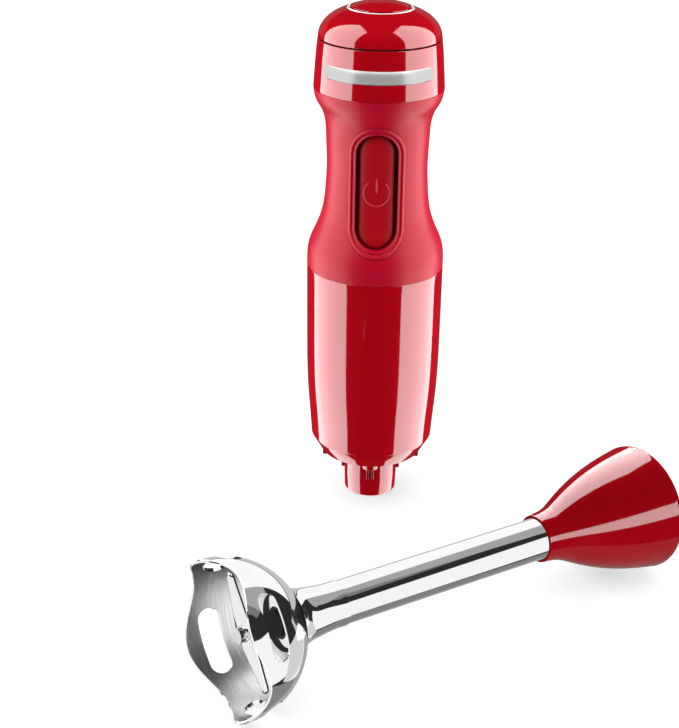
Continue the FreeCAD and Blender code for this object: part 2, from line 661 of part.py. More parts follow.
HOLDER_WALL = 1.0
HOLDER_IN = COMMUTATOR_R + 1.6
HOLDER_OUT = 23.0
BRUSH_Z = (COMMUTATOR_LOW_Z + COMMUTATOR_HIGH_Z) / 2


def upper_bracket():
    """Bridge over the commutator with the upper bearing and screw legs."""
    disc = vented_plate(UPPER_BRACKET_Z).common(rod(MOTOR_BAY_R - SEAM_LIP_WALL - 0.3, 0, DIAL_TOP_Z))
    cup = rod(UPPER_BEARING_R + BEARING_CUP_WALL, UPPER_BRACKET_Z, UPPER_BRACKET_Z + BEARING_WIDTH + 1.0)
    seat = rod(UPPER_BEARING_R, UPPER_BRACKET_Z - 1, UPPER_BRACKET_Z + BEARING_WIDTH)
    way = rod(SHAFT_R + 1.0, UPPER_BRACKET_Z, UPPER_BRACKET_Z + BEARING_WIDTH + 2)
    coil_room = rod(STATOR_RING_BORE + 0.3, STATOR_HIGH_Z - 1, UPPER_BRACKET_Z)
    posts = screw_bars(MOTOR_SCREW_R + 2.0, STATOR_HIGH_Z, UPPER_BRACKET_Z + 1.0)
    legs = [post.cut(coil_room) for post in posts]
    whole = stack(disc, cup, *legs).cut(seat).cut(way)
    for hole in screw_bars(MOTOR_SCREW_R + MOTOR_SCREW_CLEARANCE, STATOR_HIGH_Z - 1, UPPER_BRACKET_Z + 5):
        whole = whole.cut(hole)
    return whole


def brush_pair(shape_for):
    return Part.makeCompound([shape_for(side) for side in (-1, 1)])


def along_x(side, near, far, width, height):
    low, high = sorted((side * near, side * far))
    return box(low, high, -width / 2, width / 2, BRUSH_Z - height / 2, BRUSH_Z + height / 2)


def brush(side):
    near = COMMUTATOR_R + BRUSH_GAP
    return along_x(side, near, near + BRUSH_LENGTH, BRUSH_WIDTH, BRUSH_HEIGHT)


def brush_holder(side):
    walls = 2 * HOLDER_WALL
    outside = along_x(side, HOLDER_IN, HOLDER_OUT, BRUSH_WIDTH + walls, BRUSH_HEIGHT + walls)
    inside = along_x(side, HOLDER_IN - 1, HOLDER_OUT - HOLDER_WALL, BRUSH_WIDTH, BRUSH_HEIGHT)
    return outside.cut(inside)


def brush_spring(side):
    near = COMMUTATOR_R + BRUSH_GAP + BRUSH_LENGTH
    far = HOLDER_OUT - HOLDER_WALL
    spring = coil_spring(1.7, 0.35, far - near, 4)
    spring.rotate(ORIGIN, V(0, 1, 0), side * 90)
    spring.translate(V(side * near, 0, BRUSH_Z))
    return spring


def motor_screws():
    """Long screws that clamp upper bracket, stator and lower bracket."""
    low = LOWER_BRACKET_Z + 2.0
    high = UPPER_BRACKET_Z + BRACKET_PLATE
    screws = []
    for bar, head in zip(screw_bars(MOTOR_SCREW_R, low, high + 0.5), screw_bars(2.8, high, high + 1.8)):
        screws.append(stack(bar, head))
    return Part.makeCompound(screws)


def motor_mount_ring():
    """Soft ring that centres the stator in the barrel."""
    mid = (STATOR_LOW_Z + STATOR_HIGH_Z) / 2
    ring = tube(MOTOR_BAY_R, STATOR_R, mid - 5, mid + 5)
    groove = tube(MOTOR_BAY_R + 1, MOTOR_BAY_R - 1.0, mid - 1.5, mid + 1.5)
    return ring.cut(groove)


BOARD_Y = 12.0
BOARD_WIDTH = 26.0
BOARD_LOW_Z = UPPER_BRACKET_Z + BEARING_WIDTH + 6.0
BOARD_HIGH_Z = UPPER_SEAM_Z - 6.0
BOARD_THICKNESS = 1.6
BOARD_RIB = 1.6


def circuit_board():
    return box(-BOARD_WIDTH / 2, BOARD_WIDTH / 2, BOARD_Y, BOARD_Y + BOARD_THICKNESS,
               BOARD_LOW_Z, BOARD_HIGH_Z)


def board_components():
    """Capacitor, choke, regulator and terminal block on the board."""
    face = BOARD_Y
    capacitor = box(-9, 9, face - 7, face, BOARD_LOW_Z + 4, BOARD_LOW_Z + 17)
    choke = Part.makeCylinder(4.5, 6.0, V(0, face - 6, BOARD_LOW_Z + 24), V(0, 1, 0))
    regulator = box(-5, 5, face - 4.5, face, BOARD_HIGH_Z - 24, BOARD_HIGH_Z - 9)
    terminals = box(-8, 8, face - 6, face, BOARD_HIGH_Z - 7, BOARD_HIGH_Z - 1)
    return Part.makeCompound([capacitor, choke, regulator, terminals])


# ---------------------------------------------------------------- blending arm, along +Z from the rim plane
def wave_cut():
    """Everything past the wavy rim, as one cutter per notch."""
    half = math.pi / LOBES
    steps = 6
    points = []
    for k in range(steps + 1):
        angle = -half + 2 * half * k / steps
        points.append(V(20, BELL_R * math.sin(angle), RIM_WAVE * math.cos(LOBES * angle)))
    wave = Part.BSplineCurve()
    wave.interpolate(points)
    reach = RIM_WAVE * 4
    first, last = points[0], points[-1]
    low_first = V(first.x, first.y - 6, -reach)
    low_last = V(last.x, last.y + 6, -reach)
    edge_first = V(first.x, first.y - 6, first.z)
    edge_last = V(last.x, last.y + 6, last.z)
    corners = [last, edge_last, low_last, low_first, edge_first, first]
    edges = [wave.toShape()] + [Part.makeLine(a, b) for a, b in zip(corners, corners[1:])]
    cutter = Part.Face(Part.Wire(edges)).extrude(V(BELL_R, 0, 0))
    return around(cutter, LOBES, RIM_LOBE_ANGLE + 180 / LOBES)


def bell_solid(radius):
    """Hemisphere on a short straight skirt."""
    dome = Part.makeSphere(radius, ORIGIN, AXIS, 0, 90, 360)
    return stack(dome, rod(radius, -2 * RIM_WAVE, 0))


NECK_FOOT = math.sqrt(BELL_R ** 2 - NECK_FOOT_R ** 2)
STUB_R = NECK_FOOT_R - 2.0


def bell_guard():
    """Thin domed guard with a wavy rim and four flow slots."""
    shell = bell_solid(BELL_R).cut(bell_solid(BELL_R - BELL_WALL).fuse(rod(BELL_R - BELL_WALL, -20, 0)))
    for cutter in wave_cut():
        shell = shell.cut(cutter)
    slot = pill_prism(SLOT_HEIGHT, -SLOT_LENGTH / 2, SLOT_LENGTH / 2, 0, BELL_R + 5)
    slot.rotate(ORIGIN, V(0, 1, 0), 90)
    slot.translate(V(0, 0, SLOT_FROM_RIM))
    for cutter in around(slot, LOBES, RIM_LOBE_ANGLE - 90):
        shell = shell.cut(cutter)
    return shell.cut(rod(STUB_R, 0, BELL_R + 5))


BUSHING_R = 6.4
BUSHING_LOW = NECK_FOOT - 1.0
BUSHING_LENGTH = 14.0
SEAL_R = 6.4
SEAL_LENGTH = 4.0
TUBE_START = NECK_END - TUBE_INSERT


def bell_neck():
    """Flared foot between the bell and the tube."""
    flare = [(NECK_FOOT_R, NECK_FOOT), (NECK_FOOT_R - 2.2, NECK_FOOT + 3.6), (NECK_R + 0.8, NECK_FOOT + 9.7),
             (NECK_R, NECK_FOOT + 17.0), (NECK_R, NECK_END)]
    low = BUSHING_LOW - SEAL_LENGTH
    body = turned(curve(flare), line((0, NECK_FOOT), flare[0]), line((0, NECK_FOOT), (0, NECK_END)),
                  line((0, NECK_END), flare[-1]))
    stub = rod(STUB_R, low, NECK_FOOT + 1)
    whole = stack(body.cut(Part.makeSphere(BELL_R)), stub)
    bore = rod(BUSHING_R, low - 1, BUSHING_LOW + BUSHING_LENGTH)
    shaft_way = rod(DRIVE_SHAFT_R + 1.5, low, NECK_END)
    seat = rod(TUBE_R, TUBE_START, NECK_END + 1)
    return whole.cut(bore).cut(shaft_way).cut(seat)


def lower_bushing():
    return tube(BUSHING_R, DRIVE_SHAFT_R + RUNNING_GAP, BUSHING_LOW, BUSHING_LOW + BUSHING_LENGTH)


def shaft_seal():
    """Lip seal under the lower bushing."""
    low = BUSHING_LOW - SEAL_LENGTH
    ring = tube(SEAL_R, DRIVE_SHAFT_R + 2 * RUNNING_GAP, low, BUSHING_LOW)
    hollow = Part.makeCone(SEAL_R - 1.4, DRIVE_SHAFT_R + 0.8, 2.6, V(0, 0, low))
    lip = tube(DRIVE_SHAFT_R + 0.9, DRIVE_SHAFT_R + 2 * RUNNING_GAP, low, low + 2.8)
    return stack(ring.cut(hollow), lip)


SPIGOT_SEAT = COLLAR_END - SPIGOT_LENGTH + 0.3     # where the spigot's end stops in the socket
SOCKET_BORE = SPIGOT_R + SOCKET_GAP
SOCKET_END = SPIGOT_SEAT + SPIGOT_LENGTH - 5.5
TUBE_END = SPIGOT_SEAT - 12.0
COLLAR_FLOOR = SPIGOT_SEAT - 7.0


def collar_outline():
    rise = COLLAR_WIDEST - COLLAR_START
    widening = COLLAR_R - COLLAR_LIP_R
    shares = [(0.0, 0.0), (0.11, 0.04), (0.18, 0.1), (0.295, 0.275), (0.42, 0.47), (0.585, 0.68),
              (0.73, 0.82), (0.88, 0.93), (1.0, 1.0)]
    return [(COLLAR_LIP_R + widening * s, COLLAR_START + rise * t) for t, s in shares]


def collar_inside():
    """Inner face of the flared wall, from where the flare has room for it."""
    return shifted(collar_outline()[3:], -COLLAR_WALL)


def arm_tube():
    return tube(TUBE_R, TUBE_R - TUBE_WALL, TUBE_START, TUBE_END)


def arm_collar():
    """Flared collar that carries the socket and meets the motor unit."""
    outline = collar_outline()
    edge = COLLAR_END - COLLAR_WIDEST
    widest = outline[-1]
    shoulder = (COLLAR_R - edge * 0.29, COLLAR_END - edge * 0.29)
    tip = (COLLAR_R - edge, COLLAR_END)
    rounded = Part.Arc(*[V(r, 0, s) for r, s in (widest, shoulder, tip)]).toShape()
    wall = collar_inside()
    mouth = (tip[0] - 0.3, COLLAR_END)
    sleeve = TUBE_R + COLLAR_WALL
    inside = [wall[0], (sleeve, wall[0][1]), (sleeve, COLLAR_FLOOR), (TUBE_R, COLLAR_FLOOR),
              (TUBE_R, COLLAR_START)]
    edges = [curve(outline), rounded, line(tip, mouth), line(mouth, wall[-1]), curve(wall)]
    edges += [line(a, b) for a, b in zip(inside, inside[1:])]
    edges.append(line(inside[-1], outline[0]))
    return turned(*edges)


def socket_insert():
    """Moulded socket with the two twist-lock slots."""
    outer = SOCKET_BORE + SOCKET_WALL
    sleeve = tube(outer, SOCKET_BORE, SPIGOT_SEAT - 2.0, SOCKET_END)
    floor = tube(outer, BUSHING_R, COLLAR_FLOOR, SPIGOT_SEAT)
    flange = under_curve(collar_inside()).common(tube(COLLAR_R, outer - 1, COLLAR_FLOOR, COLLAR_FLOOR + 3.0))
    pin_z = SPIGOT_SEAT + PIN_Z
    pieces = stack(sleeve, floor, flange)
    for side in (0, 180):
        entry = box(SOCKET_BORE - 1.5, outer - 0.5, -2.0, 2.0, pin_z - 2.0, SOCKET_END + 1)
        lock = sector(outer - 0.5, SOCKET_BORE - 1.5, pin_z - 2.0, pin_z + 2.0, -7, 30)
        groove = entry.fuse(lock)
        groove.rotate(ORIGIN, AXIS, side)
        pieces = pieces.cut(groove)
    return pieces


def upper_bushing():
    high = SPIGOT_SEAT - 1.0
    return tube(BUSHING_R, DRIVE_SHAFT_R + RUNNING_GAP, COLLAR_FLOOR, high)


CUP_R = SPIGOT_R - SPIGOT_WALL - 0.6
CUP_LOW = SPIGOT_SEAT + 0.3
CUP_HIGH = SPIGOT_SEAT + DRIVE_DOG_LOW_Z + DRIVE_DOG_LENGTH - 1.5
SHAFT_LOW = BLADE_DEPTH - 2.4
SPACER_R = 4.8


def shaft_coupling():
    """Cup with internal splines that the motor's dog drops into."""
    floor = SPIGOT_SEAT + DRIVE_DOG_LOW_Z - 1.0
    cup = rod(CUP_R, CUP_LOW, CUP_HIGH)
    recess = rod(DRIVE_DOG_R + 0.3, floor, CUP_HIGH + 1)
    rib = box(DRIVE_DOG_R - 1.2, CUP_R - 0.5, -1.1, 1.1, floor - 0.5, CUP_HIGH)
    ribs = around(rib, DRIVE_DOG_TEETH, 30)
    return stack(cup.cut(recess), *ribs).cut(rod(DRIVE_SHAFT_R, CUP_LOW - 1, floor - 1.2))


def drive_shaft():
    return rod(DRIVE_SHAFT_R, SHAFT_LOW, SPIGOT_SEAT + DRIVE_DOG_LOW_Z - 2.2)


def blade_wing():
    """Half blade along +X, tapered to a rounded tip."""
    half, tip_half = BLADE_WIDTH / 2, BLADE_TIP_WIDTH / 2
    straight = BLADE_TIP_R - tip_half
    tip = Part.Arc(V(straight, tip_half, 0), V(BLADE_TIP_R, 0, 0), V(straight, -tip_half, 0)).toShape()
    corners = [V(straight, tip_half, 0), V(0, half, 0), V(0, -half, 0), V(straight, -tip_half, 0)]
    edges = [tip] + [Part.makeLine(a, b) for a, b in zip(corners, corners[1:])]
    wing = Part.Face(Part.Wire(Part.__sortEdges__(edges))).extrude(V(0, 0, BLADE_THICKNESS))
    wing.rotate(ORIGIN, V(0, 1, 0), -BLADE_SWEEP)
    return wing


def blade():
    """Two-wing blade leaning back into the bell."""
    wings = around(blade_wing(), 2)
    hub = rod(SPACER_R + 0.4, 0, BLADE_THICKNESS)
    spacer_room = rod(SPACER_R + 0.3, BLADE_THICKNESS, BLADE_THICKNESS + 5)
    whole = stack(hub, *wings).cut(spacer_room)
    whole.rotate(ORIGIN, AXIS, BLADE_ANGLE)
    whole.translate(V(0, 0, BLADE_DEPTH))
    return whole.cut(rod(DRIVE_SHAFT_R, BLADE_DEPTH - 5, BLADE_DEPTH + 5))


def blade_nut():
    """Domed cap nut on the end of the shaft."""
    low = BLADE_DEPTH - 3.2
    cap = Part.makeCylinder(HUB_R + 1.6, 3.2, V(0, 0, low))
    cap = cap.common(Part.makeSphere(6.2, V(0, 0, low + 6.0)))
    return cap.cut(rod(DRIVE_SHAFT_R, SHAFT_LOW, BLADE_DEPTH + 1))


def blade_spacer():
    low = BLADE_DEPTH + BLADE_THICKNESS
    return tube(SPACER_R, DRIVE_SHAFT_R, low, BUSHING_LOW - SEAL_LENGTH - 0.6)


def lay_down(shape):
    """Put a piece built along the arm's axis where the arm lies."""
    tilt = math.asin((BELL_R - COLLAR_R) / COLLAR_WIDEST)
    yaw = math.radians(ARM_YAW)
    along = V(math.cos(yaw) * math.cos(tilt), math.sin(yaw) * math.cos(tilt), -math.sin(tilt))
    across = V(math.sin(yaw), -math.cos(yaw), 0)
    third = along.cross(across)
    turn = FreeCAD.Rotation(across, third, along, "ZXY")
    height = BELL_R * math.cos(tilt)
    placed = shape.copy()
    placed.Placement = FreeCAD.Placement(V(RIM_CENTRE_X, RIM_CENTRE_Y, height), turn)
    return placed


# ---------------------------------------------------------------- write the pieces
def ring_bearing(radius, low):
    return tube(radius, SHAFT_R + RUNNING_GAP, low, low + BEARING_WIDTH)


motor_unit = {
    "coupling_base": coupling_base(),
    "lower_shell": lower_shell(),
    "grip_shell": grip_shell(),
    "button_bezel": button_bezel(),
    "power_button": power_button(),
    "button_spring": button_spring(),
    "micro_switch": micro_switch(),
    "switch_carrier": switch_carrier(),
    "band_ring": band_ring(),
    "badge_plate": badge_plate(),
    "cord_gland": cord_gland(),
    "speed_selector": speed_selector(),
    "speed_dial": speed_dial(),
    "dial_trim_ring": dial_trim_ring(),
    "dial_cap": dial_cap(),
    "motor_shaft": motor_shaft(),
    "drive_coupling": drive_coupling(),
    "armature_core": armature_core(),
    "armature_windings": armature_windings(),
    "commutator": commutator(),
    "cooling_fan": cooling_fan(),
    "stator_core": stator_core(),
    "field_coils": field_coils(),
    "lower_bracket": lower_bracket(),
    "upper_bracket": upper_bracket(),
    "lower_bearing": ring_bearing(BEARING_R, LOWER_BRACKET_Z + 1.0),
    "upper_bearing": ring_bearing(UPPER_BEARING_R, UPPER_BRACKET_Z),
    "brushes": brush_pair(brush),
    "brush_holders": brush_pair(brush_holder),
    "brush_springs": brush_pair(brush_spring),
    "motor_screws": motor_screws(),
    "motor_mount_ring": motor_mount_ring(),
    "circuit_board": circuit_board(),
    "board_components": board_components(),
}
blending_arm = {
    "bell_guard": bell_guard(),
    "bell_neck": bell_neck(),
    "lower_bushing": lower_bushing(),
    "shaft_seal": shaft_seal(),
    "arm_tube": arm_tube(),
    "arm_collar": arm_collar(),
    "socket_insert": socket_insert(),
    "upper_bushing": upper_bushing(),
    "drive_shaft": drive_shaft(),
    "shaft_coupling": shaft_coupling(),
    "blade": blade(),
    "blade_nut": blade_nut(),
    "blade_spacer": blade_spacer(),
}
for name, shape in motor_unit.items():
    save(name, shape)
for name, shape in blending_arm.items():
    save(name, lay_down(shape))
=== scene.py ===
import json
import math

import bmesh
import bpy
import numpy as np
from mathutils import Matrix, Vector
from mathutils.bvhtree import BVHTree
from mathutils.interpolate import poly_3d_calc


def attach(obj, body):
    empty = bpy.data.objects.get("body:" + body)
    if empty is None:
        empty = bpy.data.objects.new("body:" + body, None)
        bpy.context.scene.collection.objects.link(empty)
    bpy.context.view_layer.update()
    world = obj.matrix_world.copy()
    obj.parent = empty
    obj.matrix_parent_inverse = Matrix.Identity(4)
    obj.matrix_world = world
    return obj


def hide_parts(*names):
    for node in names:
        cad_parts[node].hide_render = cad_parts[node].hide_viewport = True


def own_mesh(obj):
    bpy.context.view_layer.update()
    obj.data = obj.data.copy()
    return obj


# Immersion blender: the motor unit stands on its coupling spigot, and the
# detached blending arm lies in front of it. The sizes of its pieces are in
# millimetres, and the camera, table and lights are placed in metres.
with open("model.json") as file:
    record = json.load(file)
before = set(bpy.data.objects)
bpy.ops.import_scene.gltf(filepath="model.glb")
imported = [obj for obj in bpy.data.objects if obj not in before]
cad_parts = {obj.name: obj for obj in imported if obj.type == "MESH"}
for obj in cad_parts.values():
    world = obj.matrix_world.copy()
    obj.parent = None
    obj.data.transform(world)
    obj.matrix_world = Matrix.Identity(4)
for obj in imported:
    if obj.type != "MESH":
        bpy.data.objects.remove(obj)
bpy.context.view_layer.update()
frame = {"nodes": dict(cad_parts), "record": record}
nodes = frame["nodes"]
scene = bpy.context.scene
scene.view_settings.view_transform = "Standard"
MM = 0.001

# ---------------------------------------------------------------- camera
# The blender is seen from the front and a little above, with the arm lying
# across the foreground.
EYE = Vector((0.0, -0.6426, 0.3603))
HEADING, LOOK_DOWN, ROLL = (math.radians(angle) for angle in (1.36, 24.83, 0.77))
ahead = Vector((-math.sin(HEADING) * math.cos(LOOK_DOWN), math.cos(HEADING) * math.cos(LOOK_DOWN),
                -math.sin(LOOK_DOWN)))
level = Vector((math.cos(HEADING), math.sin(HEADING), 0.0))
sideways = math.cos(ROLL) * level + math.sin(ROLL) * level.cross(ahead)
camera = bpy.data.objects.new("camera", bpy.data.cameras.new("camera"))
scene.collection.objects.link(camera)
camera.matrix_world = (Matrix.Translation(EYE)
                       @ Matrix((sideways, sideways.cross(ahead), -ahead)).transposed().to_4x4())
camera.data.lens = 75.71
camera.data.sensor_fit = "VERTICAL"
camera.data.sensor_height = 36.0
camera.data.clip_start = 0.01
scene.camera = camera

# ---------------------------------------------------------------- table and backdrop
# A matt white table top, which glows, with a bright white surround far behind it. Its glow rises towards its
# far edges: painted light where the table light falls off.
TABLE_SIZE = 12.0
SURROUND_R = 5.5
TABLE_GLOW = 0.6
TABLE_GLOW_NEAR = 0.5
TABLE_GLOW_FAR = 2.4


def plain_white(name, glow):
    """Matt white that also glows a little, as an overexposed table does."""
    material = bpy.data.materials.new(name)
    material.use_nodes = True
    shader = material.node_tree.nodes["Principled BSDF"]
    shader.inputs["Base Color"].default_value = (0.8, 0.8, 0.8, 1)
    shader.inputs["Roughness"].default_value = 0.9
    shader.inputs["Specular IOR Level"].default_value = 0.0
    shader.inputs["Emission Color"].default_value = (1, 1, 1, 1)
    shader.inputs["Emission Strength"].default_value = glow
    return material


def stage_piece(name, shape, glow):
    mesh = bpy.data.meshes.new(name)
    shape.to_mesh(mesh)
    shape.free()
    piece = bpy.data.objects.new(name, mesh)
    mesh.materials.append(plain_white(name, glow))
    scene.collection.objects.link(piece)
    piece.visible_glossy = False
    piece.visible_diffuse = False
    piece.visible_shadow = False
    return piece


plane = bmesh.new()
bmesh.ops.create_grid(plane, x_segments=1, y_segments=1, size=TABLE_SIZE / 2)
table_top = stage_piece("table_top", plane, TABLE_GLOW)
table_tree = table_top.data.materials[0].node_tree
table_shader = table_tree.nodes["Principled BSDF"]
# Painted light: the glow grows with distance from the middle, standing in for the table light that falls off
# towards the far edges.
table_place = table_tree.nodes.new("ShaderNodeTexCoord")
from_middle = table_tree.nodes.new("ShaderNodeVectorMath")
from_middle.operation = "LENGTH"
painted_far_light = table_tree.nodes.new("ShaderNodeMapRange")
painted_far_light.inputs["From Min"].default_value = TABLE_GLOW_NEAR
painted_far_light.inputs["From Max"].default_value = TABLE_GLOW_FAR
painted_far_light.inputs["To Min"].default_value = TABLE_GLOW
painted_far_light.inputs["To Max"].default_value = 1.0
table_tree.links.new(table_place.outputs["Object"], from_middle.inputs[0])
table_tree.links.new(from_middle.outputs["Value"], painted_far_light.inputs["Value"])
table_tree.links.new(painted_far_light.outputs["Result"], table_shader.inputs["Emission Strength"])
dome = bmesh.new()
bmesh.ops.create_uvsphere(dome, u_segments=48, v_segments=24, radius=SURROUND_R)
stage_piece("surround", dome, 1.0)

# ---------------------------------------------------------------- studio lights
# Tall softboxes left and right give the motor unit its two bright stripes. The
# bright trim, the red collar, the steel arm and the table have their own lights.
REACH = 3.0


def lit_group(name):
    """The pieces that one set of softboxes lights."""
    return bpy.data.collections.new(name)


body_pieces = lit_group("lit_body")
trim_pieces = lit_group("lit_trim")
collar_pieces = lit_group("lit_collar")
steel_pieces = lit_group("lit_steel")
table_pieces = lit_group("lit_table")
table_pieces.objects.link(table_top)


def panel(name, lit, place, aim, width, height, brightness, mirrored=True):
    """Flat softbox at a place, turned to face the aim. One that isn't mirrored only fills the shade."""
    light = bpy.data.lights.new(name, "AREA")
    light.shape = "RECTANGLE"
    light.size = width
    light.size_y = height
    light.energy = brightness * math.pi * width * height
    lamp = bpy.data.objects.new(name, light)
    scene.collection.objects.link(lamp)
    lamp.location = place
    lamp.rotation_mode = "QUATERNION"
    lamp.rotation_quaternion = (Vector(place) - Vector(aim)).to_track_quat("Z", "Y")
    lamp.visible_camera = False
    lamp.visible_glossy = mirrored
    lamp.light_linking.receiver_collection = lit
    if lit is not table_pieces:
        lamp.light_linking.blocker_collection = lit
    return lamp


def softbox(name, lit, left, right, low, high, brightness, centre):
    """Upright softbox that fills the angles from left to right and low to high.

    Angles are in degrees, seen from the centre: 0 is towards the viewer and 90 to the right.
    """
    middle = math.radians((left + right) / 2)
    half_width = REACH * math.tan(math.radians((right - left) / 2))
    bottom, top = (REACH * math.tan(math.radians(angle)) for angle in (low, high))
    away = Vector((math.sin(middle), -math.cos(middle), 0)) * REACH
    aim = Vector(centre) + Vector((0, 0, (bottom + top) / 2))
    return panel(name, lit, aim + away, aim, 2 * half_width, top - bottom, brightness)


BODY_CENTRE = (0, 0, 0.12)
for side, far, near in (("left", -122, -47), ("right", 47, 122)):
    softbox("box_" + side, body_pieces, far, near, -60, 71, 7.6, BODY_CENTRE)
for side, far, near in (("left", -140, -100), ("right", 100, 140)):
    softbox("under_" + side, body_pieces, far, near, -76, -52, 4.0, BODY_CENTRE)
softbox("box_back", body_pieces, 130, 230, -5, 25, 0.12, BODY_CENTRE)
panel("body_fill", body_pieces, (0, -0.25, 0.75), (0, 0, 0.2), 0.5, 0.5, 2.4, False)
panel("trim_top", trim_pieces, (0, 0, 0.9), (0, 0, 0.2), 3.2, 3.2, 1.1)
softbox("trim_front", trim_pieces, -40, 40, -30, 40, 0.5, BODY_CENTRE)
softbox("trim_back", trim_pieces, 115, 245, -20, 55, 1.1, BODY_CENTRE)
for side, far, near in (("left", -115, -42), ("right", 42, 115)):
    softbox("trim_" + side, trim_pieces, far, near, -60, 50, 1.1, BODY_CENTRE)

COLLAR_CENTRE = (0.11, -0.065, 0.03)
softbox("collar_back", collar_pieces, 158, 232, 13, 73, 7.6, COLLAR_CENTRE)
softbox("collar_front", collar_pieces, 5, 78, 1, 22, 7.0, COLLAR_CENTRE)
panel("collar_fill", collar_pieces, (0.0, -0.8, 1.0), COLLAR_CENTRE, 0.8, 0.8, 2.5, False)
panel("collar_low", collar_pieces, (0.15, -0.9, -0.35), COLLAR_CENTRE, 0.8, 0.8, 6.5, False)
panel("collar_table", collar_pieces, (0.15, -0.1, -1.0), COLLAR_CENTRE, 2.5, 2.5, 0.25)
panel("collar_top", collar_pieces, (0.1, 0.9, 0.7), COLLAR_CENTRE, 0.8, 0.8, 16.0, False)

STEEL_CENTRE = (0.03, -0.12, 0.03)
softbox("steel_back", steel_pieces, 140, 215, 0, 76, 1.15, STEEL_CENTRE)
softbox("steel_mid", steel_pieces, 92, 140, 36, 76, 0.42, STEEL_CENTRE)
softbox("steel_grey", steel_pieces, 76, 92, 44, 62, 0.2, STEEL_CENTRE)
softbox("steel_table", steel_pieces, 45, 98, -42, 22, 1.1, STEEL_CENTRE)
softbox("steel_back_low", steel_pieces, 120, 235, -32, -2, 0.6, STEEL_CENTRE)
softbox("steel_under", steel_pieces, 60, 140, -76, -46, 0.24, STEEL_CENTRE)
softbox("steel_under_back", steel_pieces, 140, 240, -70, -34, 0.4, STEEL_CENTRE)
softbox("steel_left", steel_pieces, -162, -85, 6, 76, 2.0, STEEL_CENTRE)
softbox("steel_left_low", steel_pieces, -140, -78, -62, -2, 1.0, STEEL_CENTRE)
softbox("steel_front", steel_pieces, -74, 44, -70, 40, 1.15, STEEL_CENTRE)
softbox("steel_side", steel_pieces, 98, 142, -46, -12, 0.75, STEEL_CENTRE)
panel("table_light", table_pieces, (-0.3, 0.3, 1.6), (0, 0, 0), 4.0, 4.0, 1.3)

world = bpy.data.worlds.new("studio")
scene.world = world
world.use_nodes = True
world.node_tree.nodes["Background"].inputs["Color"].default_value = (1, 1, 1, 1)
world.node_tree.nodes["Background"].inputs["Strength"].default_value = 0.03

# ---------------------------------------------------------------- barrel
# The lower shell is a glossy moulded barrel that swells gently upwards. It slips
# over the base below and over the grip's lip above, with a fine edge at each end.
SHELL_WALL = 2.2
BARREL_LOW = (27.9, 29.5)
BARREL_HIGH = (30.4, 113.8)
BARREL_SWELL = ((0.0, 0.0), (0.1, 0.24), (0.27, 0.68), (0.6, 0.96), (1.0, 1.0))
MOTOR_BAY_R = 27.6
TURN_STEPS = 192


def flowing(points, steps=8):
    """Smooth line through the points, as a natural cubic spline by chord length."""
    knots = np.array(points, float)
    chord = np.linalg.norm(np.diff(knots, axis=0), axis=1)
    count = len(knots)
    system = np.eye(count)
    drive = np.zeros_like(knots)
    for k in range(1, count - 1):
        system[k, k - 1:k + 2] = chord[k - 1], 2 * (chord[k - 1] + chord[k]), chord[k]
        drive[k] = 6 * ((knots[k + 1] - knots[k]) / chord[k] - (knots[k] - knots[k - 1]) / chord[k - 1])
    bend = np.linalg.solve(system, drive)
    line = []
    for k in range(count - 1):
        for t in np.linspace(0, 1, steps, endpoint=False):
            s = 1 - t
            line.append(s * knots[k] + t * knots[k + 1]
                        + chord[k] ** 2 / 6 * ((s ** 3 - s) * bend[k] + (t ** 3 - t) * bend[k + 1]))
    line.append(knots[-1])
    return [tuple(float(c) for c in p) for p in line]


def between(low, high, shares):
    """Points between two ends, given as shares of the way out and up."""
    return [(low[0] + (high[0] - low[0]) * out, low[1] + (high[1] - low[1]) * up) for up, out in shares]


def outline(*points):
    """Closed outline in which a point with a third number is a corner rounded to that radius."""
    line = []
    for k, point in enumerate(points):
        here = np.array(point[:2], float)
        if len(point) == 2:
            line.append(tuple(here))
            continue
        back, on = (np.array(points[j % len(points)][:2]) - here for j in (k - 1, k + 1))
        back_length, on_length = np.linalg.norm(back), np.linalg.norm(on)
        half = math.acos(float(np.clip(back @ on / (back_length * on_length), -0.9999, 0.9999))) / 2
        reach = min(point[2] / math.tan(half), 0.45 * back_length, 0.45 * on_length)
        start, end = here + back / back_length * reach, here + on / on_length * reach
        for t in np.linspace(0, 1, 6):
            line.append(tuple((1 - t) ** 2 * start + 2 * t * (1 - t) * here + t ** 2 * end))
    return line


def skin(name, rings, round_trip=True, sharp=32.0):
    """Closed skin through rings of points, joined end to end or capped."""
    count = len(rings[0])
    mesh = bpy.data.meshes.new(name)
    faces = []
    for i in range(len(rings) if round_trip else len(rings) - 1):
        ring, after = i * count, (i + 1) % len(rings) * count
        for j in range(count):
            k = (j + 1) % count
            faces.append((ring + j, after + j, after + k, ring + k))
    if not round_trip:
        faces += [tuple(range(count)), tuple(range((len(rings) - 1) * count, len(rings) * count))]
    mesh.from_pydata([tuple(c * MM for c in p) for ring in rings for p in ring], [], faces)
    shape = bmesh.new()
    shape.from_mesh(mesh)
    bmesh.ops.remove_doubles(shape, verts=shape.verts, dist=2e-6)
    bmesh.ops.dissolve_degenerate(shape, edges=shape.edges, dist=1e-6)
    bmesh.ops.recalc_face_normals(shape, faces=shape.faces)
    shape.to_mesh(mesh)
    shape.free()
    mesh.shade_smooth()
    mesh.set_sharp_from_angle(angle=math.radians(sharp))
    piece = bpy.data.objects.new(name, mesh)
    scene.collection.objects.link(piece)
    return piece


def turned(name, line, steps=TURN_STEPS):
    """Piece turned about its own axis from a closed outline of radius and height."""
    angles = [2 * math.pi * k / steps for k in range(steps)]
    return skin(name, [[(r * math.cos(a), r * math.sin(a), z) for r, z in line] for a in angles])


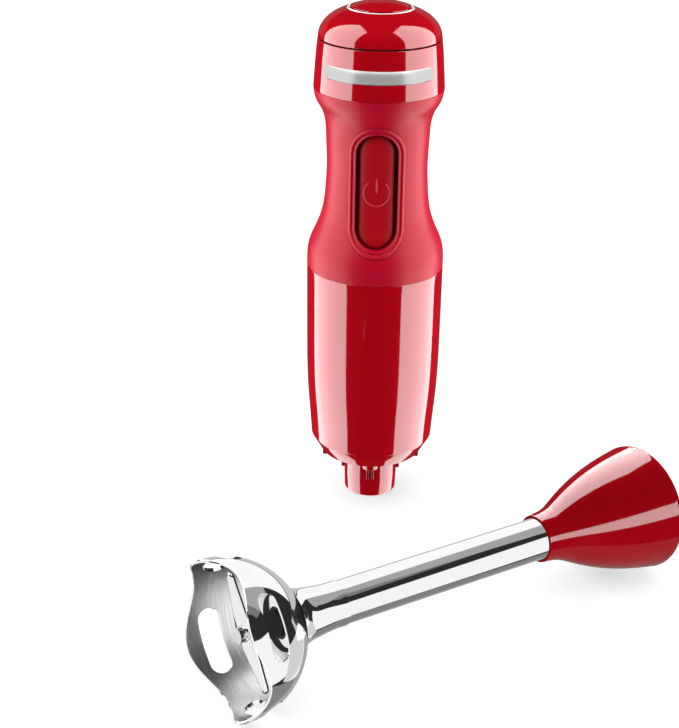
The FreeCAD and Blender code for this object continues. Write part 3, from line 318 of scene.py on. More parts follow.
def spread(nodes_of, low, high, feed, output):
    """Map Range from a 0 to 1 pattern to a useful range."""
    ranger = nodes_of.nodes.new("ShaderNodeMapRange")
    ranger.inputs["To Min"].default_value = low
    ranger.inputs["To Max"].default_value = high
    nodes_of.links.new(feed, ranger.inputs["Value"])
    nodes_of.links.new(ranger.outputs["Result"], output)


def finish(name, colour, roughness, metallic=0.0, mottle=0.04, grain=400.0, bump=0.02, stretch=(1, 1, 1),
           specular=0.5, anisotropic=0.0):
    """A surface finish: its colour and roughness wander a little, and a fine grain lies on it."""
    material = bpy.data.materials.new(name)
    material.use_nodes = True
    tree = material.node_tree
    shader = tree.nodes["Principled BSDF"]
    shader.inputs["Metallic"].default_value = metallic
    shader.inputs["Specular IOR Level"].default_value = specular
    shader.inputs["Anisotropic"].default_value = anisotropic
    place = tree.nodes.new("ShaderNodeTexCoord")
    scale = tree.nodes.new("ShaderNodeMapping")
    scale.inputs["Scale"].default_value = stretch
    tree.links.new(place.outputs["Object"], scale.inputs["Vector"])
    broad = tree.nodes.new("ShaderNodeTexNoise")
    broad.inputs["Scale"].default_value = 60.0
    broad.inputs["Detail"].default_value = 3.0
    fine = tree.nodes.new("ShaderNodeTexNoise")
    fine.inputs["Scale"].default_value = grain
    fine.inputs["Detail"].default_value = 4.0
    for noise in (broad, fine):
        tree.links.new(scale.outputs["Vector"], noise.inputs["Vector"])
    tint = tree.nodes.new("ShaderNodeMix")
    tint.data_type = "RGBA"
    tint.inputs["A"].default_value = (*[c * (1 - mottle) for c in colour], 1)
    tint.inputs["B"].default_value = (*[min(1.0, c * (1 + mottle)) for c in colour], 1)
    tree.links.new(broad.outputs["Fac"], tint.inputs["Factor"])
    tree.links.new(tint.outputs["Result"], shader.inputs["Base Color"])
    spread(tree, roughness * 0.85, roughness * 1.15, fine.outputs["Fac"], shader.inputs["Roughness"])
    relief = tree.nodes.new("ShaderNodeBump")
    relief.inputs["Strength"].default_value = bump
    relief.inputs["Distance"].default_value = 0.0001
    tree.links.new(fine.outputs["Fac"], relief.inputs["Height"])
    tree.links.new(relief.outputs["Normal"], shader.inputs["Normal"])
    return material


def fit(piece, material, slot_name, body, lit, *stands_for):
    """Gives a piece its finish and its lights, and fixes it to the body that it moves with."""
    piece.data.materials.clear()
    piece.data.materials.append(material)
    lit.objects.link(piece)
    piece.visible_glossy = lit is steel_pieces and body == "blade_rotor"
    piece.visible_diffuse = lit is steel_pieces
    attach(piece, body)
    if stands_for:
        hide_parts(*stands_for)


RED = (0.165, 0.0003, 0.0028)
gloss_red = finish("gloss_red", RED, 0.06, mottle=0.02, grain=900, bump=0.004)
barrel_line = flowing(between(BARREL_LOW, BARREL_HIGH, BARREL_SWELL))
BARREL_BORE = BARREL_LOW[0] - SHELL_WALL
BARREL_STEP = BARREL_LOW[1] + 9.0
barrel = turned("barrel", outline(
    (*barrel_line[0], 0.5), *barrel_line[1:-1], (*barrel_line[-1], 0.45), (MOTOR_BAY_R, BARREL_HIGH[1], 0.2),
    (MOTOR_BAY_R, BARREL_STEP + 5.0), (BARREL_BORE, BARREL_STEP), (BARREL_BORE, BARREL_LOW[1], 0.2)))
fit(barrel, gloss_red, "gloss_red", "motor_unit", body_pieces, "lower_shell")

# ---------------------------------------------------------------- base and spigot
# One moulding closes the barrel and carries the spigot that locks into the arm.
# Two pins, two lugs, a front boss and a pair of ribs guide the twist.
SPIGOT_R = 12.2
SPIGOT_BORE = 10.0
SPIGOT_LENGTH = 22.0
PILOT_LENGTH = 9.0
BASE_R = 23.4
BASE_TOP = (27.7, 29.5)
LIP_HEIGHT = 5.0
LIP_WALL = 1.5
BASE_LIP_R = BASE_TOP[0] - 2.0
PIN_Z = 11.2
PIN_R = 1.6
PIN_END = 13.7
LUG_LOW = 17.5
LUG_OUTER_R = 22.6
LUG_INNER_R = 18.7
LUG_HALF_ANGLE = 9
RIB_APART = 1.1
RIB_HALF = 0.65
RIB_LOW = 9.5
RIB_HIGH = 17.6
BOSS_R = 3.9
BOSS_HIGH = 25.0
BOSS_OUT = 3.2
PILOT_STEP = 0.3


def joined(name, *parts):
    """One piece from several closed shapes."""
    whole = bmesh.new()
    for part in parts:
        part.data.transform(part.matrix_world)
        whole.from_mesh(part.data)
    mesh = bpy.data.meshes.new(name)
    whole.to_mesh(mesh)
    whole.free()
    for part in parts:
        bpy.data.objects.remove(part)
    mesh.shade_smooth()
    mesh.set_sharp_from_angle(angle=math.radians(32))
    piece = bpy.data.objects.new(name, mesh)
    scene.collection.objects.link(piece)
    return piece


def arc_line(outer, inner, low, high, edge):
    """Section of a ring with rounded edges."""
    return outline((inner, low, edge), (outer, low, edge), (outer, high, edge), (inner, high, edge))


def ring_part(name, section, start, end, steps):
    """Part of a ring between two angles in degrees, capped at its ends."""
    angles = [math.radians(start + (end - start) * k / steps) for k in range(steps + 1)]
    return skin(name, [[(r * math.cos(a), r * math.sin(a), z) for r, z in section] for a in angles], False)


def block(name, x0, x1, y0, y1, z0, z1, edge):
    """Upright block with rounded long edges."""
    section = outline((x0, y0, edge), (x1, y0, edge), (x1, y1, edge), (x0, y1, edge))
    middle_x, middle_y = (x0 + x1) / 2, (y0 + y1) / 2
    rings = []
    for z, tuck in ((z0, edge), (z0 + edge, 0.0), (z1 - edge, 0.0), (z1, edge)):
        share = 1 - 2 * tuck / max(x1 - x0, y1 - y0)
        rings.append([(middle_x + (x - middle_x) * share, middle_y + (y - middle_y) * share, z)
                      for x, y in section])
    return skin(name, rings, False)


base_cup = turned("base_cup", outline(
    (SPIGOT_BORE, 0.0, 0.3), (SPIGOT_R - PILOT_STEP, 0.0, 0.7), (SPIGOT_R, PILOT_LENGTH),
    (SPIGOT_R, SPIGOT_LENGTH, 0.4), (BASE_R, SPIGOT_LENGTH, 0.6), (*BASE_TOP, 0.3), (BASE_LIP_R, BASE_TOP[1]),
    (BASE_LIP_R, BASE_TOP[1] + LIP_HEIGHT, 0.2), (BASE_LIP_R - LIP_WALL, BASE_TOP[1] + LIP_HEIGHT, 0.2),
    (BASE_LIP_R - LIP_WALL, BASE_TOP[1]), (BASE_R - SHELL_WALL, SPIGOT_LENGTH + SHELL_WALL),
    (SPIGOT_BORE, SPIGOT_LENGTH + SHELL_WALL)))
boss = turned("boss", outline(
    (0, LUG_LOW), (BOSS_R, LUG_LOW, 0.5), (BOSS_R, BOSS_HIGH, 0.4), (0, BOSS_HIGH)), 64)
boss.data.transform(Matrix.Translation((0, -(SPIGOT_R + BOSS_OUT) * MM, 0)))
base_parts = [base_cup, boss]
pin_length = PIN_END - SPIGOT_R + 1
for side in (-1, 1):
    base_parts.append(block("rib", side * RIB_APART - RIB_HALF, side * RIB_APART + RIB_HALF,
                            -SPIGOT_R - 0.8, -SPIGOT_R + 1.0, RIB_LOW, RIB_HIGH, 0.25))
    pin = turned("pin", outline((0, 0), (PIN_R, 0), (PIN_R, pin_length, 0.3), (0, pin_length)), 32)
    pin.data.transform(Matrix.Translation((side * (SPIGOT_R - 1) * MM, 0, PIN_Z * MM))
                       @ Matrix.Rotation(side * math.pi / 2, 4, "Y"))
    base_parts.append(pin)
    middle = 0 if side > 0 else 180
    base_parts.append(ring_part("lug", arc_line(LUG_OUTER_R, LUG_INNER_R, LUG_LOW, SPIGOT_LENGTH + 0.3, 0.3),
                                middle - LUG_HALF_ANGLE, middle + LUG_HALF_ANGLE, 8))
base = joined("base_and_spigot", *base_parts)
fit(base, gloss_red, "gloss_red", "motor_unit", body_pieces, "coupling_base")

# ---------------------------------------------------------------- grip
# Waisted grip with a soft satin coating, moulded in one piece, with a pill-shaped
# opening at the front for the button and its rim.
WAIST_R = 22.0
WAIST_Z = 160.5
BAND_LOW = (28.1, 193.9)
LOWER_FLARE = ((0.0, 1.0), (0.12, 0.988), (0.225, 0.88), (0.35, 0.59), (0.474, 0.32), (0.6, 0.155),
               (0.77, 0.055))
UPPER_FLARE = ((0.66, 0.07), (0.43, 0.165), (0.26, 0.475), (0.145, 0.83), (0.0, 1.0))
PILL_HALF = 12.2
PILL_LOW = 125.5
PILL_HIGH = 182.0
grip_points = [(WAIST_R + kept * (BARREL_HIGH[0] - WAIST_R),
                BARREL_HIGH[1] + along * (WAIST_Z - BARREL_HIGH[1])) for along, kept in LOWER_FLARE]
grip_points.append((WAIST_R, WAIST_Z))
grip_points += [(WAIST_R + kept * (BAND_LOW[0] - WAIST_R), BAND_LOW[1] - along * (BAND_LOW[1] - WAIST_Z))
                for along, kept in UPPER_FLARE]
grip_line = flowing(grip_points, 9)
grip_radii, grip_heights = (np.array(values) for values in zip(*grip_line))


def grip_radius(z):
    return float(np.interp(z, grip_heights, grip_radii))


def pill(half, low, high, arc_steps=28, straight_steps=22):
    """Pill outline as width and height pairs, once round."""
    angles = np.linspace(0, math.pi, arc_steps)
    top = [(half * math.cos(a), high - half + half * math.sin(a)) for a in angles]
    bottom = [(half * math.cos(a + math.pi), low + half + half * math.sin(a + math.pi)) for a in angles]
    rise = np.linspace(low + half, high - half, straight_steps)[1:-1]
    return top + [(-half, z) for z in rise[::-1]] + bottom + [(half, z) for z in rise]


def cut_out(piece, cutter):
    """Takes the cutter's shape out of a piece, which keeps its own smooth shading."""
    source = piece.data
    corners = [Vector(n.vector) for n in source.corner_normals]
    places = [v.co.copy() for v in source.vertices]
    tree = BVHTree.FromPolygons(places, [tuple(p.vertices) for p in source.polygons])
    knife = piece.modifiers.new("opening", "BOOLEAN")
    knife.object = cutter
    knife.operation = "DIFFERENCE"
    knife.solver = "EXACT"
    mesh = bpy.data.meshes.new_from_object(piece.evaluated_get(bpy.context.evaluated_depsgraph_get()))
    piece.modifiers.clear()
    mesh.set_sharp_from_angle(angle=math.radians(32))
    own = [Vector(n.vector) for n in mesh.corner_normals]
    for face in mesh.polygons:
        for corner in face.loop_indices:
            near = mesh.vertices[mesh.loops[corner].vertex_index].co.lerp(face.center, 0.01)
            spot, _, index, distance = tree.find_nearest(near)
            old = source.polygons[index]
            if distance > 0.00005 or old.normal.dot(face.normal) < 0.9:
                continue
            weights = poly_3d_calc([places[v] for v in old.vertices], spot)
            blend = sum((corners[c] * w for c, w in zip(old.loop_indices, weights)), Vector())
            own[corner] = blend.normalized()
    mesh.normals_split_custom_set([tuple(n) for n in own])
    piece.data = mesh
    bpy.data.objects.remove(cutter)
    return piece


satin_red = finish("satin_red", (0.185, 0.0005, 0.008), 0.36, mottle=0.03,
                   grain=2600, bump=0.2, specular=0.11)
UPPER_LIP_R = 24.2
SEAM_Z = BARREL_HIGH[1]
LIP_BORE_R = MOTOR_BAY_R - LIP_WALL
inner_line = [(r - SHELL_WALL, z) for r, z in grip_line[::-1]]
grip = turned("grip", outline(
    (*grip_line[0], 0.3), *grip_line[1:-1], (*grip_line[-1], 0.3), (UPPER_LIP_R, BAND_LOW[1]),
    (UPPER_LIP_R, BAND_LOW[1] + LIP_HEIGHT, 0.2), (UPPER_LIP_R - LIP_WALL, BAND_LOW[1] + LIP_HEIGHT, 0.2),
    (UPPER_LIP_R - LIP_WALL, BAND_LOW[1] - 2.0), (inner_line[4][0], BAND_LOW[1] - 2.0), *inner_line[8:-6],
    (inner_line[-6][0], SEAM_Z + 2.0), (LIP_BORE_R, SEAM_Z + 2.0), (LIP_BORE_R, SEAM_Z - LIP_HEIGHT, 0.2),
    (MOTOR_BAY_R, SEAM_Z - LIP_HEIGHT, 0.2), (MOTOR_BAY_R, SEAM_Z)), 256)
pill_edge = pill(PILL_HALF, PILL_LOW, PILL_HIGH)
opening = skin("opening", [[(x, y, z) for x, z in pill_edge] for y in (-40.0, -5.0)], False)
cut_out(grip, opening)
fit(grip, satin_red, "satin_red", "motor_unit", body_pieces, "grip_shell")

# ---------------------------------------------------------------- button rim
# A separate moulded rim follows the curve of the grip round the button. It has a
# soft raised lip outside, a groove, and a thin bright inner edge.
RIM_DEPTH = 5.0


def swept_pill(name, section, half, low, high, sharp=32.0):
    """Skin swept round a pill on the grip. A section point is inset from the edge and raised off the grip."""
    lines = []
    for inset, raised in section:
        ring = []
        for x, z in pill(max(half - inset, 0.001), low + inset, high - inset):
            reach = grip_radius(z) + raised
            ring.append((x, -math.sqrt(max(reach ** 2 - x ** 2, 0)), z))
        lines.append(ring)
    return skin(name, list(zip(*lines)), True, sharp)


rim = swept_pill("button_rim", outline(
    (0.02, -RIM_DEPTH), (0.02, -0.1), (0.3, 0.42), (0.9, 0.68), (1.35, 0.62), (1.75, 0.25), (2.0, 0.12),
    (2.3, 0.14), (2.6, 0.42, 0.15), (3.0, 0.45, 0.15), (3.2, 0.1, 0.1), (3.2, -RIM_DEPTH)),
    PILL_HALF, PILL_LOW, PILL_HIGH, 50)
fit(rim, satin_red, "satin_red", "motor_unit", body_pieces, "button_bezel")

# ---------------------------------------------------------------- power button
# Darker satin button, crowned in the middle and falling away to its sides, with the
# power symbol in low relief and the stem that presses the switch behind it.
BUTTON_HALF = 8.65
BUTTON_LOW = 129.05
BUTTON_HIGH = 178.45
BUTTON_MID = (PILL_LOW + PILL_HIGH) / 2
BUTTON_RECESS = 1.25
BUTTON_THICKNESS = 3.0
SYMBOL_R = 5.6
SYMBOL_DROP = 1.0
STROKE = 0.38
STROKE_RELIEF = 0.28
STEM_R = 2.6
STEM_LENGTH = 6.0
button_red = finish("button_red", (0.165, 0.0005, 0.0035), 0.42, mottle=0.03, grain=2600,
                    bump=0.12, specular=0.07)
back = -BUTTON_RECESS - BUTTON_THICKNESS
plate = swept_pill("plate", [
    (BUTTON_HALF, back), (4, back), (0.2, back), (0.0, back + 0.2), (0.0, -2.9), (0.15, -2.55), (0.5, -2.2),
    (1.0, -1.85), (1.6, -1.6), (2.4, -1.42), (3.4, -1.3), (4.4, -BUTTON_RECESS), (6.0, -BUTTON_RECESS),
    (BUTTON_HALF, -BUTTON_RECESS)],
    BUTTON_HALF, BUTTON_LOW, BUTTON_HIGH, 50)


def ribbon(name, path, ground):
    """Low raised stroke along a path of width and height, on a face whose radius the ground gives."""
    count = len(path)
    rings = []
    for k, (x, z) in enumerate(path):
        (ax, az), (bx, bz) = path[max(k - 1, 0)], path[min(k + 1, count - 1)]
        length = math.hypot(bx - ax, bz - az)
        across = ((bz - az) / length, -(bx - ax) / length)
        end = 0.35 if k in (0, count - 1) else 1.0
        ring = []
        for share, lift in ((-1, -0.3), (-0.85, 0.6), (-0.5, 1), (0.5, 1), (0.85, 0.6), (1, -0.3)):
            px, pz = x + across[0] * share * STROKE * end, z + across[1] * share * STROKE * end
            reach = ground(pz) + STROKE_RELIEF * lift
            ring.append((px, -math.sqrt(reach ** 2 - px ** 2), pz))
        rings.append(ring)
    return skin(name, rings, False)


def button_radius(z):
    return grip_radius(z) - BUTTON_RECESS


symbol_z = BUTTON_MID - SYMBOL_DROP
gap = math.radians(38)
loop_angles = np.linspace(gap, 2 * math.pi - gap, 60)
loop = [(SYMBOL_R * math.sin(a), symbol_z + SYMBOL_R * math.cos(a)) for a in loop_angles]
bar = [(0, z) for z in np.linspace(symbol_z + 0.2, symbol_z + 6.6, 12)]
stem = turned("stem", outline((0, -STEM_LENGTH), (STEM_R, -STEM_LENGTH), (STEM_R, 0, 0.3), (0, 0)), 48)
stem.data.transform(Matrix.Translation((0, (-WAIST_R + BUTTON_RECESS + 7.0) * MM, BUTTON_MID * MM))
                    @ Matrix.Rotation(-math.pi / 2, 4, "X"))
button = joined("power_button_face", plate, stem)
fit(button, button_red, "button_red", "power_button", body_pieces, "power_button")
symbol_red = finish("symbol_red", (0.25, 0.006, 0.018), 0.36, mottle=0.03, grain=2600,
                    bump=0.05, specular=0.25)
symbol = joined("power_symbol", ribbon("loop", loop, button_radius), ribbon("bar", bar, button_radius))
fit(symbol, symbol_red, "button_red", "power_button", body_pieces)

# ---------------------------------------------------------------- button spring
# Wire spring round the stem. It is built at its rest length and does not shorten when the button is pressed
# towards the switch plate.
SPRING_R = 3.8
SPRING_WIRE = 0.4
SPRING_FRONT = -17.15
SPRING_BACK = -11.95
SPRING_TURNS = 4
spring_rings = []
for turn in np.linspace(0, 2 * math.pi * SPRING_TURNS, 24 * SPRING_TURNS + 1):
    share = turn / (2 * math.pi * SPRING_TURNS)
    y = SPRING_FRONT + SPRING_WIRE + (SPRING_BACK - SPRING_FRONT - 2 * SPRING_WIRE) * share
    ring = []
    for k in range(10):
        a = 2 * math.pi * k / 10
        r = SPRING_R + SPRING_WIRE * math.cos(a)
        ring.append((r * math.cos(turn), y + SPRING_WIRE * math.sin(a), BUTTON_MID + r * math.sin(turn)))
    spring_rings.append(ring)
spring = skin("return_spring", spring_rings, False)
spring_steel = finish("spring_steel", (0.66, 0.66, 0.68), 0.22, 1.0, mottle=0.05, grain=300, bump=0.05)
fit(spring, spring_steel, "bright_steel", "motor_unit", body_pieces, "button_spring")
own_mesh(spring)

# ---------------------------------------------------------------- band, badge and cord inlet
# Glossy band between grip and dial. A blank silver badge is set round its front,
# and the rubber bush for the supply cord is pressed into its back.
BAND_HIGH = (26.4, 214.75)
BAND_SWELL = ((0.0, 0.0), (0.33, 0.27), (0.7, 0.62), (1.0, 1.0))
INLET_Z = (BAND_LOW[1] + BAND_HIGH[1]) / 2
band_line = flowing(between(BAND_LOW, BAND_HIGH, BAND_SWELL), 10)
band_radii, band_heights = (np.array(values) for values in zip(*band_line))
band = turned("band", outline(
    (*band_line[0], 0.35), *band_line[1:-1], (*band_line[-1], 0.85), (UPPER_LIP_R, BAND_HIGH[1], 0.2),
    (UPPER_LIP_R, BAND_LOW[1])))
hole = turned("hole", outline((0, 0), (4.6, 0), (4.6, 20), (0, 20)), 64)
hole.data.transform(Matrix.Translation((0, 15 * MM, INLET_Z * MM)) @ Matrix.Rotation(-math.pi / 2, 4, "X"))
cut_out(band, hole)
fit(band, gloss_red, "gloss_red", "motor_unit", body_pieces, "band_ring")

BADGE_HALF_ANGLE = 54.0
BADGE_HALF_HEIGHT = 2.8
BADGE_PROUD = 0.45
BADGE_R = 27.4
BADGE_DROP = 0.4
chrome = finish("chrome", (0.86, 0.86, 0.87), 0.16, metallic=1.0, mottle=0.02, grain=1200, bump=0.01)
badge_silver = finish("badge_silver", (0.6, 0.61, 0.59), 0.26, metallic=1.0, mottle=0.03,
                      grain=1800, bump=0.05)


def badge_ring(angle):
    """Section of the badge at one angle, narrower at its rounded ends."""
    left = max(BADGE_HALF_ANGLE - abs(angle), 0) * math.pi / 180 * BADGE_R
    half = BADGE_HALF_HEIGHT
    if left < half:
        half = math.sqrt(max(half ** 2 - (half - left) ** 2, 0.01))
    turn = math.radians(angle)
    ring = []
    for up, out in ((-1, -0.2), (-1, 0.6), (-0.9, 1), (0, 1.05), (0.9, 1), (1, 0.6), (1, -0.2)):
        z = INLET_Z - BADGE_DROP + up * half
        r = float(np.interp(z, band_heights, band_radii)) + out * BADGE_PROUD
        ring.append((r * math.sin(turn), -r * math.cos(turn), z))
    return ring


badge_angles = BADGE_HALF_ANGLE * np.sin(np.linspace(-math.pi / 2, math.pi / 2, 64))
badge = skin("badge", [badge_ring(angle) for angle in badge_angles], False)
fit(badge, badge_silver, "chrome", "motor_unit", trim_pieces, "badge_plate")

# ---------------------------------------------------------------- speed dial
# Domed glossy dial with a bright trim ring round its cap. It turns on the band
# with a fine gap between them.
DIAL_LOW_Z = 215.5
DIAL_TOP_Z = 230.3
DIAL_R = 26.3
DIAL_SHARES = ((1.0, 0.0), (0.985, 0.16), (0.925, 0.37), (0.77, 0.62), (0.535, 0.81), (0.3, 0.945),
               (0.0, 1.0))
TRIM_R = 13.6
TRIM_WIRE = 0.62
TRIM_Z = DIAL_LOW_Z + 0.775 * (DIAL_TOP_Z - DIAL_LOW_Z)
SEAT_R = TRIM_R + TRIM_WIRE + 0.1
SEAT_Z = TRIM_Z - 1.1
CAP_R = TRIM_R - TRIM_WIRE - 0.1
CAP_LOW = TRIM_Z - 1.0
DIAL_WALL = 2.0
HOLLOW_SIDE = 5.0
HOLLOW_DEPTH = 9.5
HUB_R = 5.5
HUB_LOW = 204.4
SPINDLE_R = 3.0
SPINDLE_LOW = 197.5
right_half = [(DIAL_R * out, DIAL_LOW_Z + (DIAL_TOP_Z - DIAL_LOW_Z) * up) for out, up in DIAL_SHARES]
mirrored = right_half + [(-r, z) for r, z in right_half[-2::-1]]
dial_line = flowing(mirrored, 10)[:61]
dial_side = [p for p in dial_line if p[0] > SEAT_R]
cap_side = [p for p in dial_line if p[0] < CAP_R]
dial = turned("dial", outline(
    (0, SEAT_Z), (SPINDLE_R, SEAT_Z), (SEAT_R, SEAT_Z), (SEAT_R, dial_side[-1][1] + 0.25, 0.2),
    *dial_side[::-1][:-1], (*dial_side[0], 0.7), (DIAL_R - DIAL_WALL, DIAL_LOW_Z, 0.2),
    (DIAL_R - DIAL_WALL, DIAL_LOW_Z + HOLLOW_SIDE), (TRIM_R - 4.0, DIAL_LOW_Z + HOLLOW_DEPTH),
    (HUB_R, DIAL_LOW_Z + HOLLOW_DEPTH), (HUB_R, HUB_LOW), (SPINDLE_R, HUB_LOW), (SPINDLE_R, SPINDLE_LOW),
    (0, SPINDLE_LOW)))
fit(dial, gloss_red, "gloss_red", "speed_dial", body_pieces, "speed_dial")
cap = turned("dial_disc", outline(
    (0, CAP_LOW), (CAP_R, CAP_LOW, 0.1), (CAP_R, cap_side[0][1] + 0.1, 0.3), *cap_side))
fit(cap, gloss_red, "gloss_red", "speed_dial", body_pieces, "dial_cap")
trim_section = [(TRIM_R - TRIM_WIRE, CAP_LOW)]
for t in np.linspace(math.pi, 0, 25):
    groove = 0.28 * math.exp(-((t - math.pi / 2) / 0.22) ** 2)
    trim_section.append((TRIM_R + TRIM_WIRE * math.cos(t), TRIM_Z + (TRIM_WIRE - groove) * math.sin(t)))
trim_section.append((TRIM_R + TRIM_WIRE, CAP_LOW))
trim = turned("trim_ring", trim_section)
fit(trim, chrome, "chrome", "speed_dial", trim_pieces, "dial_trim_ring")

# ---------------------------------------------------------------- arm: bell guard
# Pressed stainless bell, polished outside and brushed round inside, with a wavy
# rim and four slots that let the food flow through.
BELL_R = 31.0
BELL_WALL = 1.2
RIM_WAVE = 2.7
RIM_ROUND = 0.22
LOBES = 4
LOBE_ANGLE = math.radians(54)
STUB_R = 11.4
SLOT_HALF = 4.0
SLOT_HALF_LENGTH = 12.75
SLOT_AT = 8.0
ARM_YAW = math.radians(34.1)
COLLAR_R = 26.7
COLLAR_WIDEST = 203.0
RIM_X = -52.3
RIM_Y = -175.5
arm_tilt = math.asin((BELL_R - COLLAR_R) / COLLAR_WIDEST)
along = Vector((math.cos(ARM_YAW) * math.cos(arm_tilt), math.sin(ARM_YAW) * math.cos(arm_tilt),
                -math.sin(arm_tilt)))
across = Vector((math.sin(ARM_YAW), -math.cos(ARM_YAW), 0))
arm_place = (Matrix.Translation((RIM_X * MM, RIM_Y * MM, BELL_R * math.cos(arm_tilt) * MM))
             @ Matrix((across, along.cross(across), along)).transposed().to_4x4())


def lay_down(piece):
    """Lays a piece of the arm on the table. Its finish still follows the arm's own axis."""
    mesh = piece.data
    own = np.array([v.co for v in mesh.vertices])
    turn = np.array(arm_place.to_3x3())
    round_way = np.column_stack([-own[:, 1], own[:, 0], np.zeros(len(own))]) @ turn.T
    for name, values in (("own_place", own), ("round_way", round_way)):
        mesh.attributes.new(name, "FLOAT_VECTOR", "POINT").data.foreach_set("vector", values.ravel())
    mesh.transform(arm_place)


def bell_section(angle):
    """Outside from the rim to the hole, then the inside back to the rim."""
    rim_at = -RIM_WAVE * math.cos(LOBES * (angle - LOBE_ANGLE))
    section = []
    for radius, shares in ((BELL_R, np.linspace(0, 1, 40)), (BELL_R - BELL_WALL, np.linspace(1, 0, 40))):
        top = math.sqrt(radius ** 2 - STUB_R ** 2)
        for share in shares:
            s = rim_at + (top - rim_at) * share
            r = radius if s < 0 else math.sqrt(radius ** 2 - s ** 2)
            if share == 0:
                s += RIM_ROUND
                inside = radius < BELL_R
                ends = [(r, s), (r + (0.3 if inside else -0.3), s - RIM_ROUND)]
                section += ends if inside else ends[::-1]
            else:
                section.append((r, s))
    return [(r * math.cos(angle), r * math.sin(angle), s) for r, s in section]


bell = skin("bell", [bell_section(2 * math.pi * k / 288) for k in range(288)])
for k in range(LOBES):
    slot_line = pill(SLOT_HALF, -SLOT_HALF_LENGTH, SLOT_HALF_LENGTH, 20, 10)
    slot_rings = [[(x, sideways_to, SLOT_AT + up) for up, sideways_to in slot_line] for x in (15.0, 40.0)]
    cutter = skin("slot", slot_rings, False)
    cutter.data.transform(Matrix.Rotation(LOBE_ANGLE + k * 2 * math.pi / LOBES, 4, "Z"))
    cut_out(bell, cutter)
polished_steel = finish("polished_steel", (0.80, 0.80, 0.81), 0.045, metallic=1.0, mottle=0.02,
                        grain=700, bump=0.01)
brushed_steel = finish("brushed_steel", (0.8, 0.8, 0.81), 0.32, metallic=1.0, mottle=0.3, grain=70, bump=1.0,
                       stretch=(0.6, 0.6, 40), anisotropic=0.75)
tree = brushed_steel.node_tree
for name in ("own_place", "round_way"):
    source = tree.nodes.new("ShaderNodeAttribute")
    source.attribute_name = name
    if name == "round_way":
        tree.links.new(source.outputs["Vector"], tree.nodes["Principled BSDF"].inputs["Tangent"])
    else:
        tree.links.new(source.outputs["Vector"], tree.nodes["Mapping"].inputs["Vector"])
fit(bell, polished_steel, "polished_steel", "blending_arm", steel_pieces, "bell_guard")
bell.data.materials.append(brushed_steel)
for face in bell.data.polygons:
    x, y, z = face.center / MM
    from_centre = math.hypot(x, y, z) if z > 0 else math.hypot(x, y)
    if from_centre < BELL_R - BELL_WALL + 0.1:
        face.material_index = 1
lay_down(bell)

# ---------------------------------------------------------------- arm: neck, tube
# The neck is spun steel that flares on to the bell. The tube is pressed into it
# with a fine joint line.
NECK_FOOT_R = 13.4
NECK_FOOT = math.sqrt(BELL_R ** 2 - NECK_FOOT_R ** 2)
NECK_R = 9.1
NECK_END = 50.0
TUBE_R = 8.7
TUBE_BORE = 7.9
TUBE_END = 172.7
BUSHING_R = 6.4
NECK_BORE = 4.5
TUBE_START = NECK_END - 6.0
TUBE_SEAT_R = TUBE_R + 0.02
BUSHING_LOW = 22.95
BUSHING_HIGH = 40.95
neck_line = flowing([(NECK_FOOT_R, NECK_FOOT), (NECK_FOOT_R - 2.2, NECK_FOOT + 3.6),
                     (NECK_R + 0.8, NECK_FOOT + 9.7), (NECK_R, NECK_FOOT + 17.0), (NECK_R, NECK_END)])
neck = turned("neck", outline(
    (*neck_line[0], 0.15), *neck_line[1:-1], (*neck_line[-1], 0.2), (TUBE_SEAT_R, NECK_END),
    (TUBE_SEAT_R, TUBE_START), (NECK_BORE, TUBE_START), (NECK_BORE, BUSHING_HIGH), (BUSHING_R, BUSHING_HIGH),
    (BUSHING_R, BUSHING_LOW), (STUB_R, BUSHING_LOW, 0.4), (STUB_R, NECK_FOOT)))
lay_down(neck)
fit(neck, polished_steel, "polished_steel", "blending_arm", steel_pieces, "bell_neck")
tube = turned("tube", outline(
    (TUBE_BORE, TUBE_START), (TUBE_R, TUBE_START), (TUBE_R, TUBE_END, 0.2), (TUBE_BORE, TUBE_END, 0.2)))
lay_down(tube)
fit(tube, polished_steel, "polished_steel", "blending_arm", steel_pieces, "arm_tube")

# ---------------------------------------------------------------- arm: collar
# Glossy red moulding that grips the tube with a thickened lip and opens into the
# mouth that takes the motor unit.
COLLAR_LOW = (10.0, 147.0)
COLLAR_END = 206.4
COLLAR_WALL = 2.4
COLLAR_SEAT = 177.7
COLLAR_SHARES = ((0.0, 0.0), (0.11, 0.04), (0.18, 0.1), (0.295, 0.275), (0.42, 0.47), (0.585, 0.68),
                 (0.73, 0.82), (0.88, 0.93), (1.0, 1.0))
collar_points = between(COLLAR_LOW, (COLLAR_R, COLLAR_WIDEST), COLLAR_SHARES)
collar_line = flowing(collar_points)
edge = COLLAR_END - COLLAR_WIDEST
rounded = [(COLLAR_R - edge + edge * math.cos(a), COLLAR_WIDEST + edge * math.sin(a))
           for a in np.linspace(0, math.pi / 2, 12)]
wall = [(r - COLLAR_WALL, s) for r, s in flowing(collar_points[3:])[::-1]]
collar = turned("collar", outline(
    (*collar_line[0], 0.5), *collar_line[1:-1], *rounded, (COLLAR_R - edge - 0.3, COLLAR_END, 0.2), *wall,
    (TUBE_R + COLLAR_WALL, wall[-1][1]), (TUBE_R + COLLAR_WALL, COLLAR_SEAT), (TUBE_R, COLLAR_SEAT),
    (TUBE_R, COLLAR_LOW[1], 0.2)))
lay_down(collar)
fit(collar, gloss_red, "gloss_red", "blending_arm", collar_pieces, "arm_collar")

